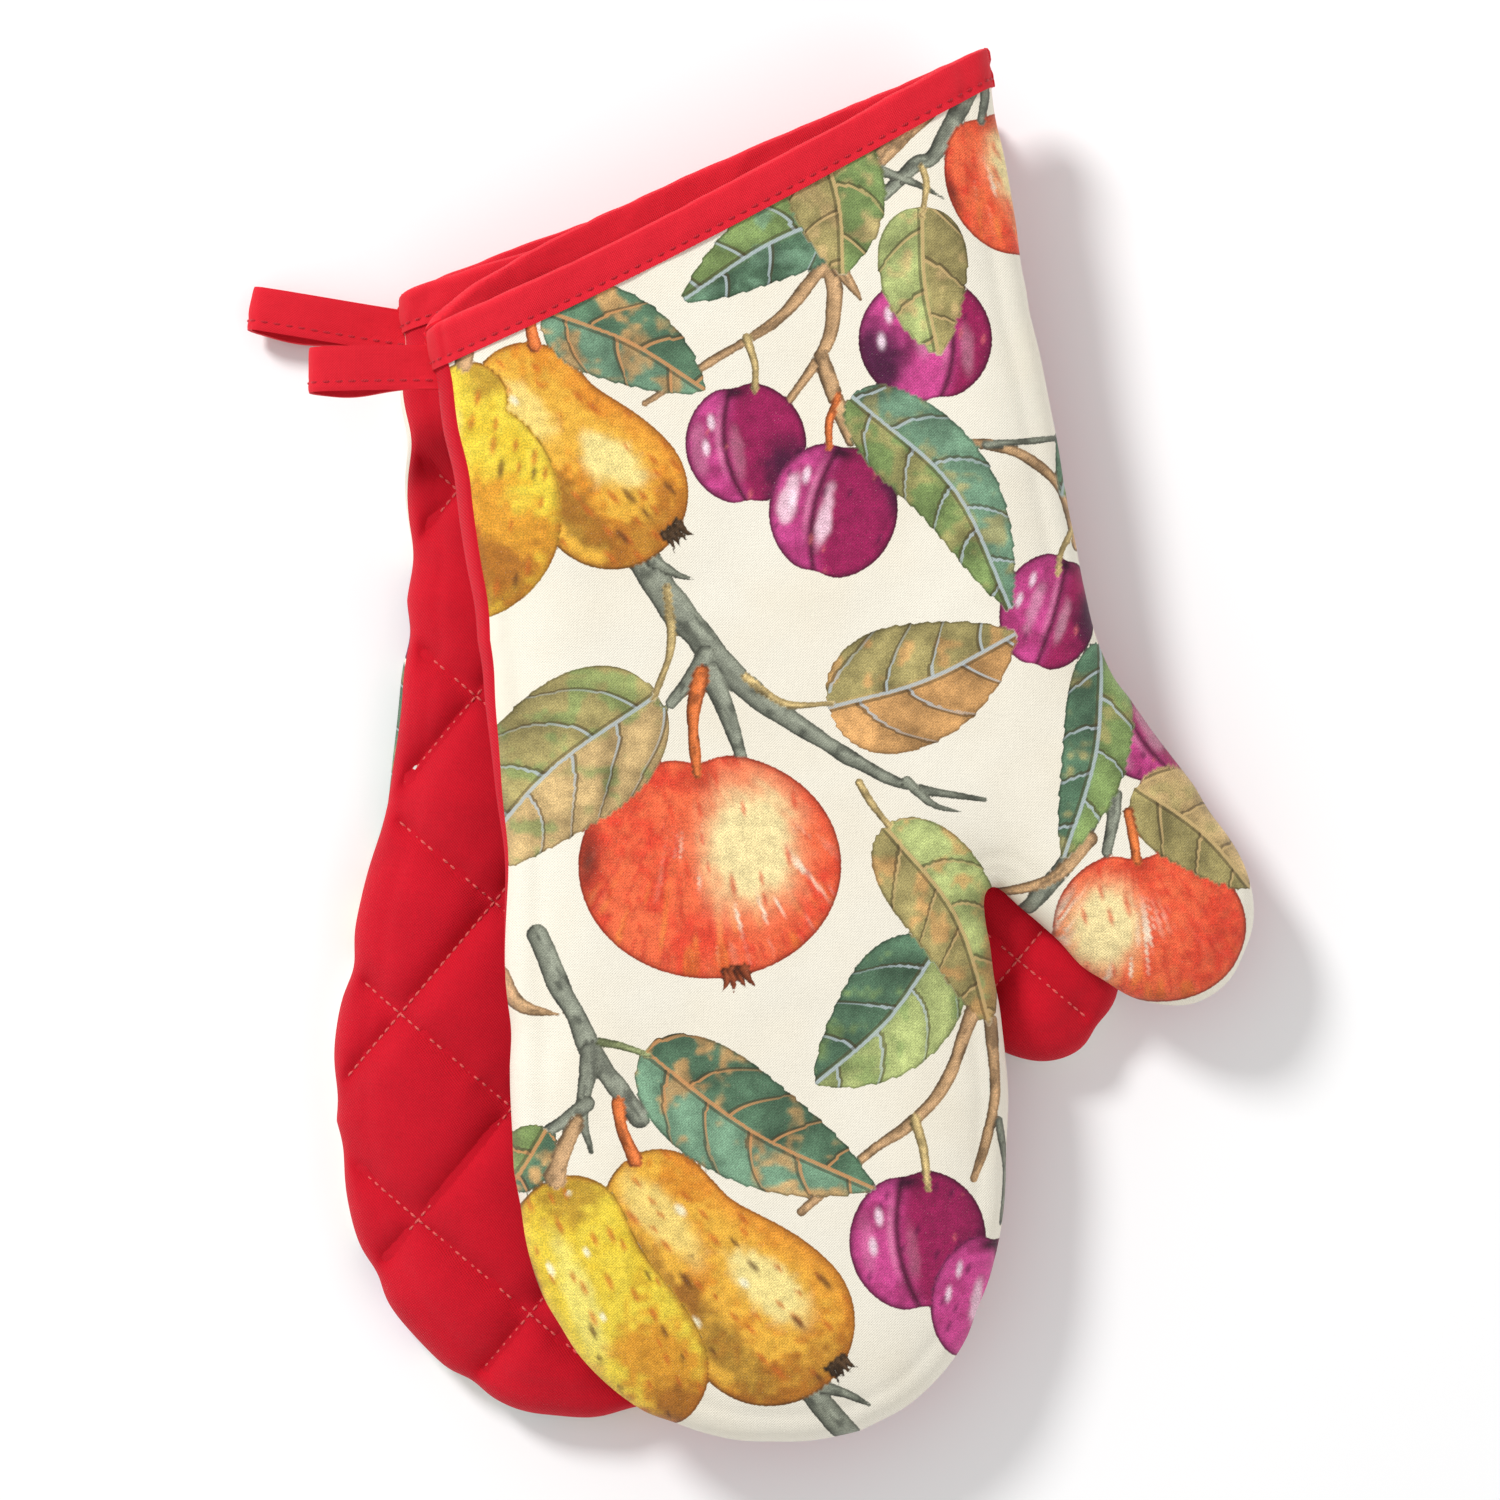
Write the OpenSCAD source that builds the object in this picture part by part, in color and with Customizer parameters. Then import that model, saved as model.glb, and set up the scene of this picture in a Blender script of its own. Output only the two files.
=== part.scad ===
// A pair of padded oven mitts, lying one on the other: the left-hand mitt below,
// palm up, and the right-hand mitt above, palm down. Each mitt is an outer cotton
// shell, a layer of batting and a lining, in a back half and a palm half that are
// sewn together round the outline, with a bias-tape binding round the mouth and a
// tape loop at the low corner of the cuff.
// Frame: +Z up, +Y towards the cuffs, +X towards the thumbs. The origin is on the
// surface that the pair lies on, under the middle of its bounding box. Millimetres.

/* [Mitt] */
// Length from the fingertips to the high corner of the cuff
mitt_length = 320; // [290:5:350]
// How far the upper side swells above the seam
top_rise = 14; // [12:0.5:17]
// How far the lower side swells below the seam
base_rise = 6; // [5.5:0.5:8]

/* [Layers] */
// Thickness of the outer cotton
shell_t = 0.6; // [0.5:0.1:0.8]
// Thickness of the batting
batting_t = 2.8; // [2:0.1:3]
// Thickness of the lining
lining_t = 0.5; // [0.4:0.1:0.6]

/* [Cuff] */
// Width of the binding on each face of the cuff
binding_w = 8; // [6:0.5:10]
// Thickness of the folded binding
binding_t = 0.8; // [0.6:0.1:1]

/* [Hanging loops] */
// Reach of the upper mitt's loop from the side seam
upper_loop = 27; // [22:1:34]
// Reach of the lower mitt's loop from the side seam
lower_loop = 33; // [26:1:38]
// Width of the loop's tape
tape_w = 9; // [8:0.5:10]
// Thickness of the folded tape
tape_t = 1.1; // [0.9:0.1:1.2]

/* [Quilting] */
// Distance between the quilting lines of the palm
quilt_pitch = 32; // [28:1:40]
// Angle between the quilting lines and the length of the mitt
quilt_angle = 31; // [25:1:45]

/* [Pair] */
// How far the lower mitt is fanned out round the corner of its cuff, in degrees
fan = 9; // [7:0.5:10]
// Sideways tilt of the upper mitt, down towards its thumb, in degrees
lean = 4.5; // [4.5:0.5:6]
// Lengthwise tilt of the upper mitt, down towards its fingertips, in degrees
dip = 1.5; // [1.5:0.5:2]

/* [Hidden] */

RED = "#d4202f";
LINING = "#f1ece0";
BATTING = "#f7f5ef";
PRINT = "#f3ecd8";

// Outline of the hand above its rounded end: height, left edge and right edge, as
// shares of mitt_length, measured from the fingertips.
HAND_EDGES = [
    [0.26, -0.187, 0.169], [0.34, -0.187, 0.161], [0.405, -0.187, 0.156],
    [0.50, -0.192, 0.184], [0.60, -0.202, 0.214], [0.66, -0.210, 0.214],
    [0.74, -0.228, 0.199], [0.83, -0.248, 0.183], [0.92, -0.268, 0.170],
    [1.04, -0.297, 0.150],
];
// The same for the thumb, measured from its own tip towards its root.
THUMB_EDGES = [
    [0.074, -0.064, 0.073], [0.117, -0.067, 0.078], [0.167, -0.080, 0.082],
    [0.217, -0.088, 0.085], [0.26, -0.090, 0.088], [0.31, -0.060, 0.060],
];
THUMB_TIP = [0.325, 0.329];  // share of mitt_length
THUMB_TURN = 40;             // degrees from the hand to the thumb
THUMB_FULLNESS = 0.85;       // rise of the thumb as a share of the hand's
END_STEPS = [8, 27, 46, 66]; // stations round a rounded end, in degrees

// Corners of the cuff, as shares of mitt_length.
CUFF_LOW = [-0.239, 0.797];
CUFF_HIGH = [0.156, 1.0];

top_curve = 2.3;  // superellipse exponent of the upper side
base_curve = 3;   // the same for the flatter lower side
across = 10;      // facets across a side
layer_gap = 0.05; // air between two layers
stitch_t = 0.3;   // height of a row of stitches
stitch_w = 0.7;   // width of a row of stitches
loop_end_r = 4.2; // outer radius of the loop's round end
loop_root_r = 1.6;
loop_gap = 0.4;   // between the loop's root and the binding

batting_in = shell_t + layer_gap;
lining_in = batting_in + batting_t + layer_gap;
cavity_in = lining_in + lining_t;

low_corner = CUFF_LOW * mitt_length;
high_corner = CUFF_HIGH * mitt_length;
cuff_angle = atan2(high_corner.y - low_corner.y, high_corner.x - low_corner.x);
thumb_tip = THUMB_TIP * mitt_length;
loop_root = [low_corner.x - binding_t - loop_gap - loop_root_r, low_corner.y - 7.5];

// Where the two mitts stand in the row frame.
upper_at = [5.5, -161, 22.6];
lower_shift = [-9, 10.5]; // from the upper mitt's low corner to the lower mitt's
floor_trim = 0.15;        // flattened off the underside that the pair rests on

far = 400;

// Stations along a lobe: [height, centre, half width, share of the full rise].
function rounded_end(first, turns) =
    let (half = (first[2] - first[1]) / 2, centre = (first[2] + first[1]) / 2)
    [for (a = turns) [first[0] * (1 - cos(a)), centre * (1 - cos(a)), half * sin(a), sin(a)]];
function stations(edges) =
    concat(rounded_end(edges[0], END_STEPS),
           [for (e = edges) [e[0], (e[1] + e[2]) / 2, (e[2] - e[1]) / 2, 1]]);

// The solid under a swelled skin, down to just past the seam plane. inset moves the
// skin inwards by about that much.
module lobe(edges, inset, rise, curve) {
    rows = stations(edges);
    narrow = 1 - 2 * inset / ((edges[0][2] - edges[0][1]) * mitt_length);
    past_seam = 1;
    skin = [for (r = rows) for (j = [0 : across])
        let (a = 180 * j / across, c = -cos(a))
        [(r[1] + r[2] * narrow * sign(c) * pow(abs(c), 2 / curve)) * mitt_length,
         inset + r[0] * (mitt_length - inset),
         (rise - inset) * r[3] * pow(sin(a), 2 / curve)]];
    base = [for (r = rows) for (edge = [-1, 1])
        [(r[1] + r[2] * narrow * edge) * mitt_length,
         inset + r[0] * (mitt_length - inset), -past_seam]];
    n = across + 1;
    m = n * len(rows);
    last = len(rows) - 1;
    quads = [for (i = [0 : last - 1]) each concat(
        [for (j = [0 : across - 1])
            [i * n + j, (i + 1) * n + j, (i + 1) * n + j + 1, i * n + j + 1]],
        [[m + 2 * i, m + 2 * i + 1, m + 2 * i + 3, m + 2 * i + 2],
         [i * n, m + 2 * i, m + 2 * i + 2, (i + 1) * n],
         [i * n + across, (i + 1) * n + across, m + 2 * i + 3, m + 2 * i + 1]])];
    mouth = concat([for (j = [across : -1 : 0]) last * n + j], [m + 2 * last, m + 2 * last + 1]);
    tip = concat([for (j = [0 : across]) j], [m + 1, m]);
    polyhedron(points = concat(skin, base),
               faces = concat([for (q = quads) each [[q[0], q[1], q[2]], [q[0], q[2], q[3]]]],
                              [mouth, tip]));
}

// Hand and thumb together, on one side of the seam: 1 is above it and -1 below it.
module half_mitt(inset, side) {
    rise = side > 0 ? top_rise : base_rise;
    curve = side > 0 ? top_curve : base_curve;
    mirror([0, 0, side > 0 ? 0 : 1]) {
        lobe(HAND_EDGES, inset, rise, curve);
        translate(thumb_tip)
            rotate(THUMB_TURN)
                lobe(THUMB_EDGES, inset, rise * THUMB_FULLNESS, curve);
    }
}

// Everything on one side of the seam, from "below" to "above" along the cuff's normal,
// both measured from the line of the cuff.
module cuff_band(below, above, side, seam_gap) {
    translate(low_corner)
        rotate(cuff_angle)
            translate([-far / 2, below, side > 0 ? seam_gap : -far - seam_gap])
                cube([far, above - below, far]);
}

// One layer of one half, between two insets, cut off at the cuff.
module layer(outer, inner, side) {
    intersection() {
        difference() {
            half_mitt(outer, side);
            half_mitt(inner, side);
        }
        cuff_band(-far, 0, side, layer_gap);
    }
}

module shell(side) { layer(0, shell_t, side); }
module batting(side) { layer(batting_in, batting_in + batting_t, side); }
module lining(side) { layer(lining_in, cavity_in, side); }

// Bias tape folded over the raw edges of all the layers, round the whole mouth.
module binding() {
    for (side = [-1, 1])
        difference() {
            intersection() {
                half_mitt(-binding_t, side);
                cuff_band(-binding_w, binding_t, side, 0);
            }
            half_mitt(cavity_in + binding_t, side);
            difference() {
                intersection() {
                    half_mitt(-layer_gap, side);
                    cuff_band(-far, layer_gap, side, -1);
                }
                half_mitt(cavity_in + layer_gap, side);
            }
        }
}

// The row of stitches that holds the binding, round the outside of the cuff.
module binding_stitches() {
    stitch_line = 1.6 - binding_w;
    for (side = [-1, 1])
        intersection() {
            difference() {
                half_mitt(-binding_t - layer_gap - stitch_t, side);
                half_mitt(-binding_t - layer_gap, side);
            }
            cuff_band(stitch_line, stitch_line + stitch_w, side, 0);
        }
}

// Crossing rows of stitches over the quilted side.
module quilting(side) {
    margin = 3;
    intersection() {
        difference() {
            half_mitt(-layer_gap - stitch_t, side);
            half_mitt(-layer_gap, side);
        }
        cuff_band(-far, -binding_w - margin, side, base_rise / 5);
        for (turn = [-quilt_angle, 90 - quilt_angle])
            for (k = [-7 : 7])
                translate([0, mitt_length / 2])
                    rotate(turn)
                        translate([-far, (k + 0.5) * quilt_pitch - stitch_w / 2, -far / 2])
                            cube([2 * far, stitch_w, far]);
    }
}

// A tape loop seen along its width: two strands that part from a round root and
// meet in a round end, "reach" away.
module loop_outline(reach, end_r, root_r, shoulder_r, start) {
    shoulder = -9;
    end_x = loop_end_r - reach;
    translate([end_x, 0]) circle(r = end_r, $fn = 48);
    polygon([[end_x, end_r], [end_x, -end_r], [shoulder, -shoulder_r],
             [start, -root_r], [start, root_r], [shoulder, shoulder_r]]);
}
module hanging_loop(reach) {
    hollow_start = -3.6;
    hollow_root = 0.4;
    shoulder_r = 3.6;
    translate([loop_root.x, loop_root.y + tape_w / 2])
        rotate([90, 0, 0])
            difference() {
                union() {
                    cylinder(h = tape_w, r = loop_root_r, $fn = 48);
                    linear_extrude(tape_w)
                        loop_outline(reach, loop_end_r, loop_root_r, shoulder_r, 0);
                }
                translate([0, 0, -1])
                    linear_extrude(tape_w + 2)
                        loop_outline(reach, loop_end_r - tape_t, hollow_root,
                                     shoulder_r - tape_t, hollow_start);
            }
}

module upper() {
    translate(upper_at)
        rotate([dip, lean, 0])
            children();
}
module lower() {
    intersection() {
        translate([upper_at.x, upper_at.y, base_rise - floor_trim])
            translate(low_corner + lower_shift)
                rotate(-fan)
                    translate(-low_corner)
                        children();
        translate([-far, -far, 0]) cube(2 * far);
    }
}

module upper_back_shell() { color(PRINT) upper() shell(1); }
module upper_palm_shell() { color(RED) upper() shell(-1); }
module upper_back_batting() { color(BATTING) upper() batting(1); }
module upper_palm_batting() { color(BATTING) upper() batting(-1); }
module upper_back_lining() { color(LINING) upper() lining(1); }
module upper_palm_lining() { color(LINING) upper() lining(-1); }
module upper_cuff_binding() { color(RED) upper() binding(); }
module upper_binding_thread() { color(RED) upper() binding_stitches(); }
module upper_quilting_thread() { color(RED) upper() quilting(-1); }
module upper_hanging_loop() { color(RED) upper() hanging_loop(upper_loop); }

module lower_back_shell() { color(PRINT) lower() shell(-1); }
module lower_palm_shell() { color(RED) lower() shell(1); }
module lower_back_batting() { color(BATTING) lower() batting(-1); }
module lower_palm_batting() { color(BATTING) lower() batting(1); }
module lower_back_lining() { color(LINING) lower() lining(-1); }
module lower_palm_lining() { color(LINING) lower() lining(1); }
module lower_cuff_binding() { color(RED) lower() binding(); }
module lower_binding_thread() { color(RED) lower() binding_stitches(); }
module lower_quilting_thread() { color(RED) lower() quilting(1); }
module lower_hanging_loop() { color(RED) lower() hanging_loop(lower_loop); }

upper_back_shell();
upper_palm_shell();
upper_back_batting();
upper_palm_batting();
upper_back_lining();
upper_palm_lining();
upper_cuff_binding();
upper_binding_thread();
upper_quilting_thread();
upper_hanging_loop();
lower_back_shell();
lower_palm_shell();
lower_back_batting();
lower_palm_batting();
lower_back_lining();
lower_palm_lining();
lower_cuff_binding();
lower_binding_thread();
lower_quilting_thread();
lower_hanging_loop();
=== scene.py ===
"""Looks for a pair of padded oven mitts, one lying on the other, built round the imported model.

Each mitt is worked out in its own frame, in millimetres: x across, y from the fingertips
towards the cuff, and z out of the plane of the side seam. Mitt.place() puts it in the row
frame, in metres.
"""
import math

import bpy
import numpy as np
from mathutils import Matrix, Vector
from mathutils.bvhtree import BVHTree
from mathutils.geometry import delaunay_2d_cdt
from mathutils.kdtree import KDTree


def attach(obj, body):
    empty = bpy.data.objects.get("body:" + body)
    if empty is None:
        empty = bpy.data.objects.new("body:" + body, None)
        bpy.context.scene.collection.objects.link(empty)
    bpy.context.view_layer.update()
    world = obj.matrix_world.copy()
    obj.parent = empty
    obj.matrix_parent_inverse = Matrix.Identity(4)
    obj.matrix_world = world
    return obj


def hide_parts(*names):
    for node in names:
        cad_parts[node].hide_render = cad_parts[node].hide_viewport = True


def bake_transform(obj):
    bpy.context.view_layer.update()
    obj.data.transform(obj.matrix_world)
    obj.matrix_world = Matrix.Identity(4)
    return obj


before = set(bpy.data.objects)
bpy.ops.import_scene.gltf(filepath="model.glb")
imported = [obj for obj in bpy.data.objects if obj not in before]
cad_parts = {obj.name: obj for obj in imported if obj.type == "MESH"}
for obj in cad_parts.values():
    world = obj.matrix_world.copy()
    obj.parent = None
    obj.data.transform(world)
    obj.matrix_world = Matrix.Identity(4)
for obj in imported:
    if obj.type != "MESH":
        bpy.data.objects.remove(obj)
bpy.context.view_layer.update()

# ---------------------------------------------------------------- sizes, in millimetres

MM = 0.001
LENGTH = 320.0             # fingertips to the high corner of the cuff
SHELL = 0.6                # outer cotton
BATTING = 2.8
LINING = 0.5
GAP = 0.05                 # air between two layers
WALL = SHELL + BATTING + LINING + 2 * GAP
TOP, BASE = 1, -1          # the two faces of a mitt
EDGE_RISE = {TOP: 5.6, BASE: 3.7}    # rounding beside the seam
EDGE_REACH = {TOP: 6.5, BASE: 5.0}
CROWN_RISE = {TOP: 7.0, BASE: 1.9}   # slow swell towards the middle
CROWN_REACH = 25.0
BINDING_THICKNESS = 0.55
TAPE_WIDTH = 10.2
TAPE_THICKNESS = 1.0
QUILT_PITCH = 34.0
QUILT_ANGLE = math.radians(31)
QUILT_PHASE = (17.0, 12.0)
QUILT_WAYS = (np.array([math.cos(QUILT_ANGLE), -math.sin(QUILT_ANGLE)]),
              np.array([math.sin(QUILT_ANGLE), math.cos(QUILT_ANGLE)]))
ROW_STEP = 0.75            # between two points of a row of quilting
STITCH_PITCH = 3 * ROW_STEP
TAPE_STITCH = (2.8, 2.0)   # pitch and length
TAPE_STITCH_LINE = 2.6     # from the middle of the loop's tape
LOOP_ROOT = (-79.28, 247.54)
LOOP_RADIUS = 3.3
BELOW_MOUTH = {"cloth": 0.8, "filling": 2.0}   # where each layer stops
WADDING_INSET = 1.3
LINING_INSET = 4.6

# How finely the curves are cut up, and how near counts as touching.
POINTS_PER_SPAN = 40
SIDE_STEP = 0.5
FINE_STEP = 0.1
OUTLINE_STEP = 0.9
ON_SEAM = 0.07
SAME_POINT = 0.02

VEIN_GAP = 12.5            # along a printed leaf

# Where the two mitts stand in the row frame, as in the CAD model.
UPPER_ORIGIN = (5.5, -161.0, 22.6)
UPPER_LEAN = math.radians(4.5)
UPPER_DIP = math.radians(1.5)
LOWER_SEAM = 5.85
LOWER_SHIFT = (-9.0, 10.5)
FAN = math.radians(9)

# The side seam as shares of LENGTH, in percent, from the low corner of the cuff round the
# fingertips, the crotch and the thumb to the high corner. Round curves join the points.
SIDE_SEAM = [
    (-23.9, 79.7), (-21.8, 70.5), (-20.2, 60), (-19.0, 47), (-18.5, 33), (-18.3, 23),
    (-16.9, 14.8), (-13.6, 8), (-8.6, 3), (-3.8, 0.6), (0, 0), (4.4, 0.6), (9.2, 3.1),
    (13.2, 7.7), (15.7, 14.6), (16.7, 23), (16.2, 31), (15.5, 37.5), (16.0, 39.9),
    (18.2, 38.6), (20.9, 36.4), (23.2, 33.9), (26.6, 31.9), (30.3, 31.7), (33.2, 33.9),
    (34.6, 37.6), (34.2, 41.4), (31.6, 46), (27.4, 51.8), (24.2, 56.6), (22.3, 61.6),
    (20.4, 71), (18.6, 82), (17.2, 91), (15.6, 100),
]
CROTCH = np.array((15.8, 40.2)) * LENGTH / 100
# How far each mitt's seam differs from that pattern at each of those points, in mm: the two
# lie differently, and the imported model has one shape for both.
UPPER_MOVES = [
    (-2.5, 0), (-4.7, 0), (-4.2, 0), (-2.7, 0), (-1.5, 0), (-1.9, 0), (-2.4, -0.3),
    (-3.4, -1.8), (-2.6, -1.6), (-0.5, -0.5), (0.5, 0), (1.5, -0.8), (2.0, -1.8),
    (2.8, -1.6), (3.0, -0.6), (2.1, 0), (1.4, 0), (0.5, 0), (0, 0), (0, 0), (0, 0), (0, 0),
    (0, -0.3), (0.5, -0.6), (1.1, -0.6), (1.5, 0), (1.2, 0.5), (0.6, 0.3), (0, 0), (0, 0),
    (1.0, 0), (1.2, 0), (0.2, 0), (-0.6, 0.4), (-0.8, 1.0),
]
LOWER_MOVES = [
    (-1.0, 0), (-3.3, 0), (-1.6, 0), (-2.2, 0), (-5.8, 0), (-6.6, 0), (-4.0, 0),
    (-3.0, -0.6), (-0.8, 0), (0, 1.2), (0, 2.6), (0, 2.8), (0, 2.6), (0, 1.5), (0, 0),
    (0, 0), (0, 0), (0, 0), (0, 0), (1.0, 0), (3.0, 1.5), (3.0, 1.8), (3.0, 1.5), (3.0, 1.0),
    (3.2, 0), (3.0, 0), (2.0, 0), (1.0, 0), (0, 0), (0, 0), (0, 0), (0, 0), (0, 0), (0, 0),
    (0, 0),
]


# ------------------------------------------------------------------------- small maths

def smoothstep(low, high, value):
    t = np.clip((value - low) / (high - low), 0, 1)
    return t * t * (3 - 2 * t)


def swell(distance, reach):
    """A quarter of a circle that rises from 0 at the seam to 1 at reach."""
    t = np.clip(distance / reach, 0, 1)
    return np.sqrt(1 - (1 - t) ** 2)


def bell(value, middle, width):
    """1 at the middle, falling smoothly to 0 on both sides."""
    return np.exp(-((value - middle) / width) ** 2)


def spot(x, y, at_x, at_y, wide, tall):
    """The same in two directions."""
    return np.exp(-((x - at_x) / wide) ** 2 - ((y - at_y) / tall) ** 2)


def lattice(ix, iy, seed):
    """A fixed pseudo-random number from 0 to 1 for each whole point of a grid."""
    h = np.sin(ix * 127.1 + iy * 311.7 + seed * 74.7) * 43758.5453
    return h - np.floor(h)


def noise(xy, size, seed=0):
    """Smooth noise from 0 to 1, with features about size across."""
    p = np.asarray(xy, float) / size
    cell = np.floor(p)
    f = p - cell
    f = f * f * (3 - 2 * f)
    ix, iy = cell[:, 0], cell[:, 1]
    low = lattice(ix, iy, seed) * (1 - f[:, 0]) + lattice(ix + 1, iy, seed) * f[:, 0]
    high = lattice(ix, iy + 1, seed) * (1 - f[:, 0]) + lattice(ix + 1, iy + 1, seed) * f[:, 0]
    return low * (1 - f[:, 1]) + high * f[:, 1]


def spline(points):
    """A smooth curve through the points."""
    p = np.asarray(points, float)
    p = np.vstack([2 * p[0] - p[1], p, 2 * p[-1] - p[-2]])
    t = np.linspace(0, 1, POINTS_PER_SPAN, endpoint=False)[:, None]
    spans = []
    for a, b, c, d in zip(p, p[1:], p[2:], p[3:]):
        spans.append(0.5 * (2 * b + (c - a) * t + (2 * a - 5 * b + 4 * c - d) * t ** 2
                            + (3 * b - a - 3 * c + d) * t ** 3))
    return np.vstack(spans + [p[-2:-1]])


def arc_length(line):
    return np.concatenate([[0], np.cumsum(np.linalg.norm(np.diff(line, axis=0), axis=1))])


def resample(line, step):
    along = arc_length(line)
    at = np.linspace(0, along[-1], max(2, int(round(along[-1] / step)) + 1))
    return np.stack([np.interp(at, along, line[:, k]) for k in range(line.shape[1])], 1)


def left_normals(line):
    """Unit normals to the left of the way along a flat line."""
    d = np.gradient(line, axis=0)
    d /= np.maximum(np.linalg.norm(d, axis=1), 1e-9)[:, None]
    return np.stack([-d[:, 1], d[:, 0]], 1)


def unit(v):
    return v / np.maximum(np.linalg.norm(v, axis=-1, keepdims=True), 1e-9)


def left_of(way):
    return np.array([-way[1], way[0]])


def kd_tree(points):
    tree = KDTree(len(points))
    for i, p in enumerate(points):
        tree.insert((p[0], p[1], 0), i)
    tree.balance()
    return tree


def nearest(tree, xy):
    """Which of the tree's points is nearest to each point, and how far it is."""
    found = [tree.find((x, y, 0)) for x, y in np.asarray(xy, float).tolist()]
    return np.array([f[1] for f in found], int), np.array([f[2] for f in found])


def add_object(name, data):
    made = bpy.data.objects.new(name, data)
    bpy.context.scene.collection.objects.link(made)
    return made


def turn(axis, angle):
    """The 3 x 3 rotation about an axis of the frame, 0 to 2."""
    c, s = math.cos(angle), math.sin(angle)
    m = np.eye(3)
    i, j = (axis + 1) % 3, (axis + 2) % 3
    m[i, i], m[i, j], m[j, i], m[j, j] = c, -s, s, c
    return m


def quilt_lines(xy):
    """How far each point is from the nearest line of each of the two quilting families,
    and how far along that line it is."""
    result = []
    for k in (0, 1):
        across = xy @ QUILT_WAYS[1 - k] - QUILT_PHASE[k]
        off = across - np.round(across / QUILT_PITCH) * QUILT_PITCH
        result.append((off, xy @ QUILT_WAYS[k]))
    return result


# ------------------------------------------------------------------------------ a mitt

class Mitt:
    """One mitt's seam and surfaces, in its own frame."""

    def __init__(self, name, palm, waviness, scallop, cuff_bows, moves, strip):
        self.name = name
        self.palm = palm            # the face that is the quilted palm
        self.cuff_bows = cuff_bows  # how far each face's mouth edge dips, in mm
        self.strip = strip          # width of the other face's cloth on top, from y
        self.ripples = {}
        side = resample(spline(np.array(SIDE_SEAM) * LENGTH / 100 + moves), SIDE_STEP)
        pull = scallop * bell(self.nearest_quilting(side), 0, 5)
        pull += waviness * (noise(side, 22, 3 if palm == TOP else 8) - 0.5)
        count = np.arange(len(side))
        steady = smoothstep(0, 25, count) * smoothstep(0, 25, count[::-1])
        side = side + left_normals(side) * (pull * steady)[:, None]
        self.side = side
        self.low, self.high = side[0], side[-1]
        across = unit(self.high - self.low)
        self.down = np.array([across[1], -across[0]])
        self.tip_at = int(np.argmin(side[:, 1]))
        start, end = unit(side[0] - side[6]), unit(side[-1] - side[-7])
        reach = np.arange(1, 80)[:, None] * SIDE_STEP
        self.edge = np.vstack([side[0] + start * reach[::-1], side, side[-1] + end * reach])
        self.edge_normals = left_normals(self.edge)
        self.tree = kd_tree(resample(self.edge, FINE_STEP))
        self.left_end = len(reach) + self.tip_at

    @staticmethod
    def nearest_quilting(xy):
        (a, _), (b, _) = quilt_lines(xy)
        return np.minimum(abs(a), abs(b))

    def distance(self, xy):
        """How far each point is from the side seam."""
        far = nearest(self.tree, xy)[1]
        return np.where(far < ON_SEAM, 0, far)

    def edge_near(self, xy):
        """Which point of the edge is nearest to each point, and how far it is."""
        at, far = nearest(self.tree, xy)
        return np.clip((at * (FINE_STEP / SIDE_STEP)).astype(int), 0, len(self.edge) - 1), far

    def inward(self, xy):
        """How far each point is from the side seam, and less than 0 outside the mitt."""
        at, far = self.edge_near(xy)
        return far * np.sign(((xy - self.edge[at]) * self.edge_normals[at]).sum(1))

    def below_cuff(self, xy):
        return (xy - self.low) @ self.down

    def cuff_point(self, s, face):
        """The mouth's edge on one face, from the low corner at 0 to the high one at 1."""
        s = np.asarray(s, float)[:, None]
        return self.low + (self.high - self.low) * s + self.down * self.bow(s, face)

    def seam_at(self, a, way):
        """The side seam's points a below the cuff, by the low corner or, with way -1, the
        high one."""
        part = self.edge[::way][:240]
        deep = self.below_cuff(part)
        return np.stack([np.interp(a, deep, part[:, 0]), np.interp(a, deep, part[:, 1])], 1)

    def bow(self, s, face):
        amount, power = self.cuff_bows[face]
        return amount * np.sin(np.pi * np.clip(s, 0, 1) ** power)

    def height(self, xy, face, smooth=False):
        """How far the outside of one face is from the seam plane."""
        xy = np.asarray(xy, float)
        d = self.distance(xy)
        z = EDGE_RISE[face] * swell(d, EDGE_REACH[face]) + CROWN_RISE[face] * swell(d, CROWN_REACH)
        fade = smoothstep(1.0, 9.0, d)
        grid = self.ripples.get(face)
        if grid is not None:
            z = z + fade * sample(grid, xy)
        if smooth:
            return z
        seed = 11 * (face + 2) + (5 if self.palm == TOP else 0)
        if face == self.palm:
            below = self.below_cuff(xy) - self.bow(np.full(len(xy), 0.4), face)
            z = z + smoothstep(0.4, 5.5, d) * self.quilting(xy, face) * (
                0.25 + 0.75 * smoothstep(3, 13, below))
        else:
            z = z + fade * 0.9 * (noise(xy, 30, seed) - 0.5)
            z = z + fade * 0.35 * (noise(xy, 9, seed + 1) - 0.5)
        # A pucker that runs in from the crotch, where the seam allowance is tight.
        away = xy - CROTCH
        inward = away @ np.array([-0.74, 0.67])
        beside = away @ np.array([0.67, 0.74])
        tight = bell(beside, 0, 5.0) * np.exp(-np.maximum(inward, 0) / 18)
        z = z - 1.6 * tight * smoothstep(0.5, 5, d) * (inward > -6)
        if face == TOP:
            # The seam, where the other face's cloth rolls over the edge.
            s = self.strip(xy[:, 1])
            left = (xy[:, 0] < -20) & (s > 0.3)
            dent = 0.9 * bell(d, s, 0.8) * np.minimum(s, 1) * d / (d + 0.3)
            z = z - np.where(left, dent, 0)
        # Seam allowance: a soft dip just inside the side seam.
        z = z - 0.25 * bell(d, 7.5, 1.6)
        if self.name == "lower" and face == BASE:
            cuff = 1 - smoothstep(8, 14, self.below_cuff(xy))
            z = np.minimum(z, LOWER_SEAM - 0.02 - 0.9 * cuff)
        return z

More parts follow.
